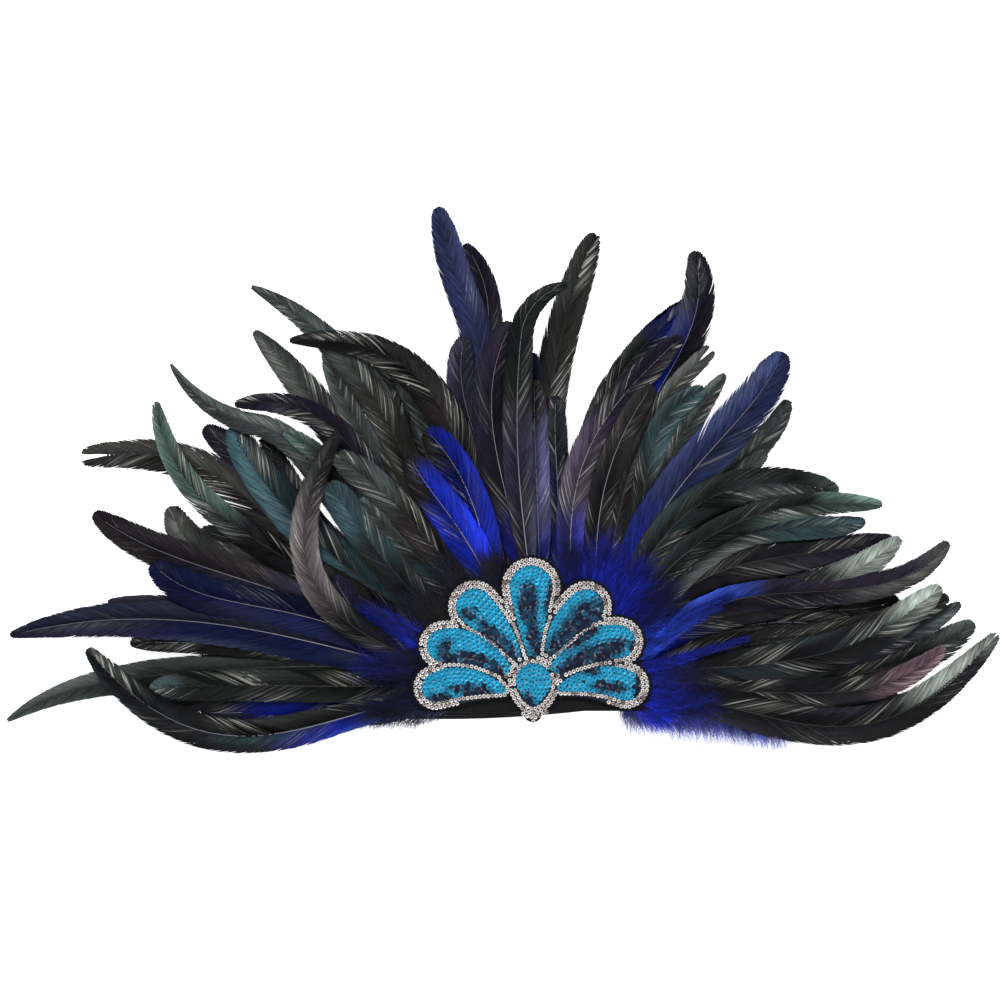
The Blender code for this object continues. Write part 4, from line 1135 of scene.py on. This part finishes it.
# The plate below the drop reaches further down, and the border's tip is sewn there
DROP_PLATE = Petal(-3, 1, 9.6, -3, -7, 7.2, -4, -17, 1.0)
FIELDS = {f"petal_{number}": petal for number, petal in enumerate(PETALS, start=1)}
FIELDS["centre_drop"] = DROP
PETAL_STEPS = 40              # steps of a petal's spine
CAP_POINTS = 14               # points that divide each of its round ends


def petal_spine(petal):
    """Centres and radii of the circles that a petal runs round, from its end to its foot."""
    t = np.linspace(0.0, 1.0, PETAL_STEPS + 1)[:, None]
    weights = np.hstack(((1.0 - t) * (1.0 - 2.0 * t), 4.0 * t * (1.0 - t), t * (2.0 * t - 1.0)))
    circles = np.array(petal).reshape(3, 3)
    return weights @ circles


def petal_distance(petal, places):
    """How far places lie outside a petal's edge, negative inside it."""
    spine = petal_spine(petal)
    gaps = np.hypot(places[:, None, 0] - spine[:, 0], places[:, None, 1] - spine[:, 1])
    return (gaps - spine[:, 2]).min(axis=1)


def cap(centre, radius, side, heading):
    """Places on a half circle round a centre, from its side over its heading to the other side."""
    turns = np.linspace(0.0, math.pi, CAP_POINTS)[1:-1]
    return centre + radius * np.array([side * math.cos(turn) + heading * math.sin(turn) for turn in turns])


def petal_row(petal, offset, pitch):
    """Places and headings along a petal's outline, moved outwards by an offset."""
    spine = petal_spine(petal)
    radii = np.maximum(spine[:, 2] + offset, 0.0)
    heading = np.gradient(spine[:, :2], axis=0)
    heading /= np.hypot(heading[:, 0], heading[:, 1])[:, None]
    side = np.column_stack((-heading[:, 1], heading[:, 0]))
    keep = radii > 0.3
    left = (spine[:, :2] + side * radii[:, None])[keep]
    right = (spine[:, :2] - side * radii[:, None])[keep][::-1]
    first, last = np.flatnonzero(keep)[[0, -1]]
    foot = cap(spine[last, :2], radii[last], side[last], heading[last])
    end = cap(spine[first, :2], -radii[first], side[first], heading[first])
    loop = np.concatenate((left, foot, right, end, left[:1]))
    steps = np.hypot(*np.diff(loop, axis=0).T)
    lengths = np.concatenate(([0.0], np.cumsum(steps)))
    count = max(int(round(lengths[-1] / pitch)), 1)
    at = np.arange(count) * lengths[-1] / count
    place = np.column_stack([np.interp(at, lengths, loop[:, axis]) for axis in (0, 1)])
    ahead = np.column_stack([np.interp(at + 0.5, lengths, loop[:, axis])
                             - np.interp(at - 0.5, lengths, loop[:, axis]) for axis in (0, 1)])
    return place, np.arctan2(ahead[:, 1], ahead[:, 0])


print("fields", len(FIELDS))

# %% [markdown]
# A sequin starts as a twelve-sided disc. An inset gives it an inner ring, which is lowered and
# loses its middle, so a shallow cup with a hole is left, and Solidify gives the foil its
# thickness. Sequins of one field are then copied in a row and laid one by one, each with its
# own small tilt and one side that gets a painted glint.

# %% Two kinds of sequin
SEQUIN_LEVEL = 33.2           # top of the plates that the sequins are sewn on, in mm
SEQUIN_SIDES = 12
CUP_DEPTH = 0.06              # this and the next four in widths of a sequin
FOIL = 0.05                   # how thick it is
FIELD_HOLE = 0.31
BORDER_HOLE = 0.42
SEQUIN_LIFT = 0.10            # how far its middle lies above the plate
PITCH_SPREAD = 1.2            # in degrees
ROLL_SPREAD = 1.5             # in degrees
GLINT_FROM = 0.38             # how far from its middle a sequin's painted glint begins, in its widths


def make_sequin(name, hole):
    """A foil ring one unit across with a hole, its rim a little above its hole."""
    bpy.ops.object.select_all(action="DESELECT")
    bpy.ops.mesh.primitive_circle_add(vertices=SEQUIN_SIDES, radius=0.5, fill_type="NGON",
                                      location=(0.5, 0.5, 0.0))
    item = bpy.context.object
    item.name = name
    bpy.ops.object.transform_apply(location=True, rotation=True, scale=True)
    bpy.ops.object.mode_set(mode="EDIT")
    bpy.ops.mesh.select_all(action="SELECT")
    bpy.ops.mesh.inset(thickness=0.5 - hole / 2.0)
    bpy.ops.transform.translate(value=(0.0, 0.0, -CUP_DEPTH))
    bpy.ops.mesh.delete(type="FACE")
    bpy.ops.object.mode_set(mode="OBJECT")
    foil = item.modifiers.new("foil", "SOLIDIFY")
    foil.thickness = FOIL
    select_only(item)
    bpy.ops.object.modifier_apply(modifier=foil.name)
    drop_uvs(item)
    return item


field_sequin = make_sequin("field_sequin", FIELD_HOLE)
border_sequin = make_sequin("border_sequin", BORDER_HOLE)
print("sequin", triangles(field_sequin), "triangles")


# %% Sewing sequins on a plate
def sew_sequins(template, name, places, turns, tones, glints, size, tilt, finish, seed):
    """Sequins at places and turns, each tilted like a roof tile, one side of it with a painted glint."""
    rng = np.random.default_rng(seed)
    total = len(places)
    field, raw, number = make_comb(template, name, total)
    local = np.column_stack((raw[:, 0] - number - 0.5, raw[:, 1] - 0.5, raw[:, 2])) * size
    pitch = np.radians(tilt + rng.normal(0.0, PITCH_SPREAD, total))[number]
    roll = np.radians(rng.normal(0.0, ROLL_SPREAD, total))[number]
    face = rng.uniform(0.0, 2.0 * math.pi, total)[number]
    lit = local[:, 0] * np.cos(face) + local[:, 1] * np.sin(face) > GLINT_FROM * size
    x = local[:, 0] * np.cos(pitch) - local[:, 2] * np.sin(pitch)
    z = local[:, 0] * np.sin(pitch) + local[:, 2] * np.cos(pitch)
    y = local[:, 1] * np.cos(roll) - z * np.sin(roll)
    z = local[:, 1] * np.sin(roll) + z * np.cos(roll)
    turn = turns[number]
    across = np.column_stack((x * np.cos(turn) - y * np.sin(turn), x * np.sin(turn) + y * np.cos(turn)))
    height = SEQUIN_LEVEL + size * (SEQUIN_LIFT + math.sin(math.radians(tilt)) / 2.0) + z
    set_places(field.data, np.column_stack((places[number] + across, height)) * MM)
    dye = field.data.color_attributes.new("dye", "FLOAT_COLOR", "POINT")
    # Painted glint: the lit side is mixed towards glint white
    tint = tones[number] + (dye_colour("glint_white") - tones[number]) * (lit * glints[number])[:, None]
    dye.data.foreach_set("color", np.column_stack((tint, np.ones(len(raw)))).ravel())
    field.data.materials.append(finish)
    return field


def cloth_of(node, name, finish):
    """The plate that a node's sequins are sewn on: its own solid, merged and given a finish."""
    plate = copy_of(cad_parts[node], name)
    select_only(plate)
    bpy.ops.object.mode_set(mode="EDIT")
    bpy.ops.mesh.select_all(action="SELECT")
    bpy.ops.mesh.remove_doubles(threshold=0.00001)
    bpy.ops.object.mode_set(mode="OBJECT")
    plate.data.materials.clear()
    plate.data.materials.append(finish)
    drop_uvs(plate)
    return plate


# %% [markdown]
# The petals are filled with turquoise sequins in rows that follow the outline inwards, and what
# stays free inside is filled one by one. Parts of each petal tilt away from the light in the
# photograph and look navy, so listed ovals give these sequins a dark tone. The foil is
# metallised film under a tinted lacquer: metallic, with the tint as base colour.

# %% Turquoise fields
TURQUOISE_SIZE = 3.2          # width of a sequin, and all that follows, in mm
TURQUOISE_PITCH = 2.9         # along a row
TURQUOISE_ROW = 2.2           # from row to row
TURQUOISE_INSET = 1.2         # from a petal's edge to its first row
TURQUOISE_RIM = 0.9           # nearest that a sequin's middle may come to the edge
FILL_GAP = 2.2                # least distance at which a free place is filled
FILL_STEP = 0.7               # grid on which free places are looked for
# An oval's middle, half its length, half its width, in mm, and where its length points
Patch = namedtuple("Patch", "x y long wide heading")
PATCHES = [Patch(*line) for line in (
    (-6.5, 43, 12, 5.5, 90), (-3.6, 25, 13, 3.6, 94), (5.5, 46, 15, 2.4, 82), (22.5, 31.5, 18, 9, 47),
    (9, 22, 8, 4, 62), (29, 13.8, 22, 6, 24), (52, 20, 7, 2.6, 78), (38, -3, 10, 3, -5),
    (28.6, 5.9, 4, 2.4, 0), (53.5, -1.3, 7, 2.4, 80), (-38.5, -4, 12, 3, -3), (-54.6, -8.4, 6, 3, 0),
    (-41, 12.6, 14, 4, -3), (-52.5, 18.4, 6, 3.6, 60), (-24.2, 6.8, 6, 3.6, -35), (-39.4, 37, 5, 3.2, -30),
    (-23.3, 23, 15, 4.8, -44), (-7, -9, 5, 3, -30),
)]


def patch_tone(places, patches):
    """How much of the patches' tone each place has: all of it inside one, fading at its edge."""
    tone = np.zeros(len(places))
    for patch in patches:
        angle = math.radians(patch.heading)
        dx, dy = places[:, 0] - patch.x, places[:, 1] - patch.y
        u = (dx * math.cos(angle) + dy * math.sin(angle)) / patch.long
        v = (-dx * math.sin(angle) + dy * math.cos(angle)) / patch.wide
        tone = np.maximum(tone, np.clip(3.2 - 2.6 * np.hypot(u, v), 0.0, 1.0))
    return tone


def grid_of(low, high, step):
    """Places on a square grid between two corners."""
    across, along = (np.arange(low[axis], high[axis], step) for axis in (0, 1))
    return np.stack(np.meshgrid(across, along), -1).reshape(-1, 2)


def all_gaps(places, others):
    """Distances from each place to each of the others."""
    return np.hypot(*(places[:, None] - others[None]).transpose(2, 0, 1))


def fill_field(petal):
    """Places and turns of a petal's sequins: rows along its outline, then what is left inside."""
    insets = np.arange(TURQUOISE_INSET, max(petal.end_r, petal.waist_r), TURQUOISE_ROW)
    rows = [petal_row(petal, -inset, TURQUOISE_PITCH) for inset in insets]
    places = np.concatenate([place for place, _ in rows])
    turns = np.concatenate([turn for _, turn in rows])
    inside = petal_distance(petal, places) < -TURQUOISE_RIM
    places, turns = places[inside], turns[inside]
    grid = grid_of((-70.0, -30.0), (70.0, 70.0), FILL_STEP)
    free = grid[petal_distance(petal, grid) < -TURQUOISE_INSET]
    while True:
        gaps = all_gaps(free, places)
        widest = gaps.min(axis=1).argmax()
        if gaps[widest].min() < FILL_GAP:
            return places, turns
        places = np.vstack((places, free[widest]))
        turns = np.append(turns, turns[gaps[widest].argmin()])


# Sequin film: metal under a coloured lacquer, so its gloss takes the colour
turquoise_foil = dyed_material("turquoise_sequin_foil", Metallic=0.65, Roughness=0.45)
silver_foil = dyed_material("silver_sequin_foil", Metallic=0.65, Roughness=0.4)

# Netting: the dark cloth of the palmette, whose knots lie about 1.1 mm apart
KNOTS_PER_METRE = 900.0
netting, tree, shader = new_material(
    "black_stitched_netting", Base_Color=to_linear("#0D1A26"), Roughness=0.9)
place = add_node(tree, "ShaderNodeTexCoord")
threads = add_node(tree, "ShaderNodeTexVoronoi", {
    "Vector": place.outputs["Object"], "Scale": KNOTS_PER_METRE})
relief = add_node(tree, "ShaderNodeBump", {
    "Height": threads.outputs["Distance"], "Strength": 0.5, "Distance": 0.0002})
tree.links.new(relief.outputs["Normal"], shader.inputs["Normal"])
print("dark patches", len(PATCHES))

# %% [markdown]
# Silver sequins frame the petals: a single row midway between neighbours, two rows round the
# outer ends, one row along the lower edge and two more below the drop, down to the border's tip.
# The single rows are laid first. Then rows at one distance are tried round each petal, and a
# sequin is left out where it would lie on a petal or on one that is there already.

# %% Places of the silver border
SILVER_SIZE = 2.15            # width of a sequin, and all that follows, in mm
SILVER_PITCH = 2.25           # from one to the next
SILVER_ROWS = (1.25, 3.5)     # distances of the two rows from a petal
TIP_ROWS = (5.75, 8.0)        # distances of two more rows below the drop
PLATE_RIM = 3.7               # how far these reach beyond the plate below the drop
CROWN_CENTRE = (-4.0, 2.0)    # middle of the palmette
SINGLE_WITHIN = 41.0          # how far the lower edge has a single row, from the middle
PETAL_CLEARANCE = 1.0         # least distance from any petal
ROW_MARGIN = 18.0             # how far round a petal its rows are looked for
CONTOUR_STEP = 0.25           # grid on which they are looked for
CONTOUR_BAND = 0.18           # how far a place may lie off its row
DIVIDER_STEP = 0.3            # grid for the single rows, and how far they may lie off the middle
DIVIDER_BETWEEN = 2.2         # farthest that a single row may lie from its petals
DIVIDER_CLEARANCE = 1.4       # least distance from the other petals
DIVIDER_PITCH = SILVER_PITCH * 0.97  # least distance in a single row
CONTOUR_PITCH = SILVER_PITCH * 0.96  # in a row round a petal
MEETING_PITCH = SILVER_PITCH * 0.88  # and where rows meet
FAR = 9.0                     # stands for a distance where there is nothing yet


def clear_of(petals, places):
    """How far places lie outside the nearest of some petals."""
    return np.min([petal_distance(petal, places) for petal in petals], axis=0)


def nearest(place, others):
    """Distance from a place to the nearest of the others, far where there are none."""
    return min((math.dist(place, other) for other in others), default=FAR)


def divider_row(first, second, others):
    """Places midway between two petals, from the middle of the palmette outwards."""
    grid = grid_of((-60.0, -20.0), (60.0, 62.0), DIVIDER_STEP)
    near, far = petal_distance(first, grid), petal_distance(second, grid)
    grid = grid[(np.abs(near - far) < DIVIDER_STEP) & (near < DIVIDER_BETWEEN)]
    grid = grid[clear_of(others, grid) > DIVIDER_CLEARANCE]
    chosen = []
    for place in grid[np.argsort(np.hypot(*(grid - CROWN_CENTRE).T))]:
        if nearest(place, chosen) > DIVIDER_PITCH:
            chosen.append(place)
    return chosen


def contour_row(petal, offset):
    """Places and turns one pitch apart at one distance round a petal."""
    centres = np.array(petal).reshape(3, 3)[:, :2]
    low, high = centres.min(axis=0) - ROW_MARGIN, centres.max(axis=0) + ROW_MARGIN
    grid = grid_of(low, high, CONTOUR_STEP)
    grid = grid[np.abs(petal_distance(petal, grid) - offset) < CONTOUR_BAND]
    away = grid - centres[1]
    turns = np.arctan2(away[:, 1], away[:, 0])
    chosen = []
    for i in np.argsort(turns):
        if nearest(grid[i], grid[chosen]) > CONTOUR_PITCH:
            chosen.append(i)
    return grid[chosen], turns[chosen] + math.pi / 2.0


def belongs(petal, offset, place):
    """Whether a place in a petal's row gets a sequin, by the rules for lower edge and tip."""
    if offset in TIP_ROWS:
        return petal is DROP and petal_distance(DROP_PLATE, place[None])[0] < PLATE_RIM
    lower = place[1] < petal.end_y and petal in (PETALS[0], PETALS[-1])
    return offset == SILVER_ROWS[0] or not (lower and abs(place[0] - CROWN_CENTRE[0]) < SINGLE_WITHIN)


petals = list(FIELDS.values())
placed, turned = [], []
for first, second in zip(PETALS[:-1], PETALS[1:]):
    row = divider_row(first, second, [petal for petal in petals if petal not in (first, second)])
    placed += row
    turned += [math.atan2(place[1] - CROWN_CENTRE[1], place[0] - CROWN_CENTRE[0]) for place in row]
for offset in SILVER_ROWS + TIP_ROWS:
    for petal in petals[::-1]:
        places, turns = contour_row(petal, offset)
        for place, turn, clear in zip(places, turns, clear_of(petals, places)):
            free = clear > PETAL_CLEARANCE and nearest(place, placed) > MEETING_PITCH
            if free and belongs(petal, offset, place):
                placed.append(place)
                turned.append(turn)
silver_places, silver_turns = np.array(placed), np.array(turned)
print("silver border", len(silver_places), "sequins")

# %% [markdown]
# Each field is joined to its own piece of netting, which is the plate of the solid with its
# doubled corners merged. Sequins stay clear of the silver ones. The tone of each is mixed from
# the turquoise and navy dyes, the navy standing for painted shade, and a few sides get a painted
# glint as where the foil faces a light.

# %% Sew the turquoise petals
SILVER_CLEARANCE = 1.6        # least distance from a silver sequin, in mm
TURQUOISE_TILT = 3.5          # how steeply one overlaps the next, in degrees
DARK_UNEVEN = 0.12            # how much the dark tones differ within a patch
DARK_STRAY = 0.06             # and how much any tone strays to dark
LACQUER_UNEVEN = 0.10         # how much the turquoise tones differ
FOIL_GLINT = 0.75             # brightest painted glint, before it is squared
for seed, (node, petal) in enumerate(FIELDS.items()):
    places, turns = fill_field(petal)
    clear = all_gaps(places, silver_places).min(axis=1) > SILVER_CLEARANCE
    places, turns = places[clear], turns[clear]
    rng = np.random.default_rng(seed + 300)
    uneven = np.clip(rng.normal(1.0, DARK_UNEVEN, len(places)), 0.0, 1.0)
    # Painted shade where parts of a petal tilt away from the light
    dark = patch_tone(places, PATCHES) * uneven
    dark = np.clip(dark + rng.normal(0.0, DARK_STRAY, len(places)), 0.0, 1.0)[:, None]
    tones = dye_colour("turquoise") * (1.0 - dark) + dye_colour("navy") * dark
    tones = tones * np.exp(rng.normal(0.0, LACQUER_UNEVEN, len(places)))[:, None]
    # Painted glints, a little stronger where the shade is painted
    glints = rng.uniform(0.0, FOIL_GLINT, len(places)) ** 2 * (0.4 + 0.2 * dark[:, 0])
    sequins = sew_sequins(field_sequin, f"{node}_sequins", places, turns, tones, glints,
                          TURQUOISE_SIZE, TURQUOISE_TILT, turquoise_foil, seed)
    field = join([cloth_of(node, f"{node}_cloth", netting), sequins], f"{node}_sequins")
    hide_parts(node)
    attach(field, "root")
    print(node, len(places), "sequins")

# %% [markdown]
# The border is sewn in the same way. Some of its sequins get a painted brown shade, and in three
# places, where the photograph shows a blaze of light, all of them get a painted white glint.

# %% Sew the silver border
SILVER_TILT = 4.0             # in degrees
SHADED_SILVER_POWER = 2.5           # above 1, so that few sequins get a deep painted brown shade
BLAZES = (Patch(-12, 17, 6.5, 2.8, -52), Patch(-18.4, 6.8, 2, 2, 0), Patch(8.5, 13.1, 2, 2, 0))
rng = np.random.default_rng(400)
# Painted shade: a random share of each sequin's silver is turned to a shaded brown
silver_shade = (rng.uniform(0.0, 1.0, len(silver_places)) ** SHADED_SILVER_POWER)[:, None]
tones = dye_colour("silver") * (1.0 - silver_shade) + dye_colour("shaded_silver") * silver_shade
# Painted highlights: in the blazes the sequins are painted glint white
blaze = patch_tone(silver_places, BLAZES)
tones = tones + (dye_colour("glint_white") - tones) * blaze[:, None]
glints = np.maximum(rng.uniform(0.0, 1.0, len(silver_places)), blaze)
sequins = sew_sequins(border_sequin, "border_sequins", silver_places, silver_turns, tones, glints,
                      SILVER_SIZE, SILVER_TILT, silver_foil, 401)
border = join([cloth_of("silver_border", "border_cloth", netting), sequins], "silver_sequin_border")
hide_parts("silver_border")
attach(border, "root")
print(border.name, triangles(border), "triangles")

# %% Close the scene
for template in (barb_bundle, quill_rod, hair_rod, field_sequin, border_sequin):
    bpy.data.objects.remove(template)
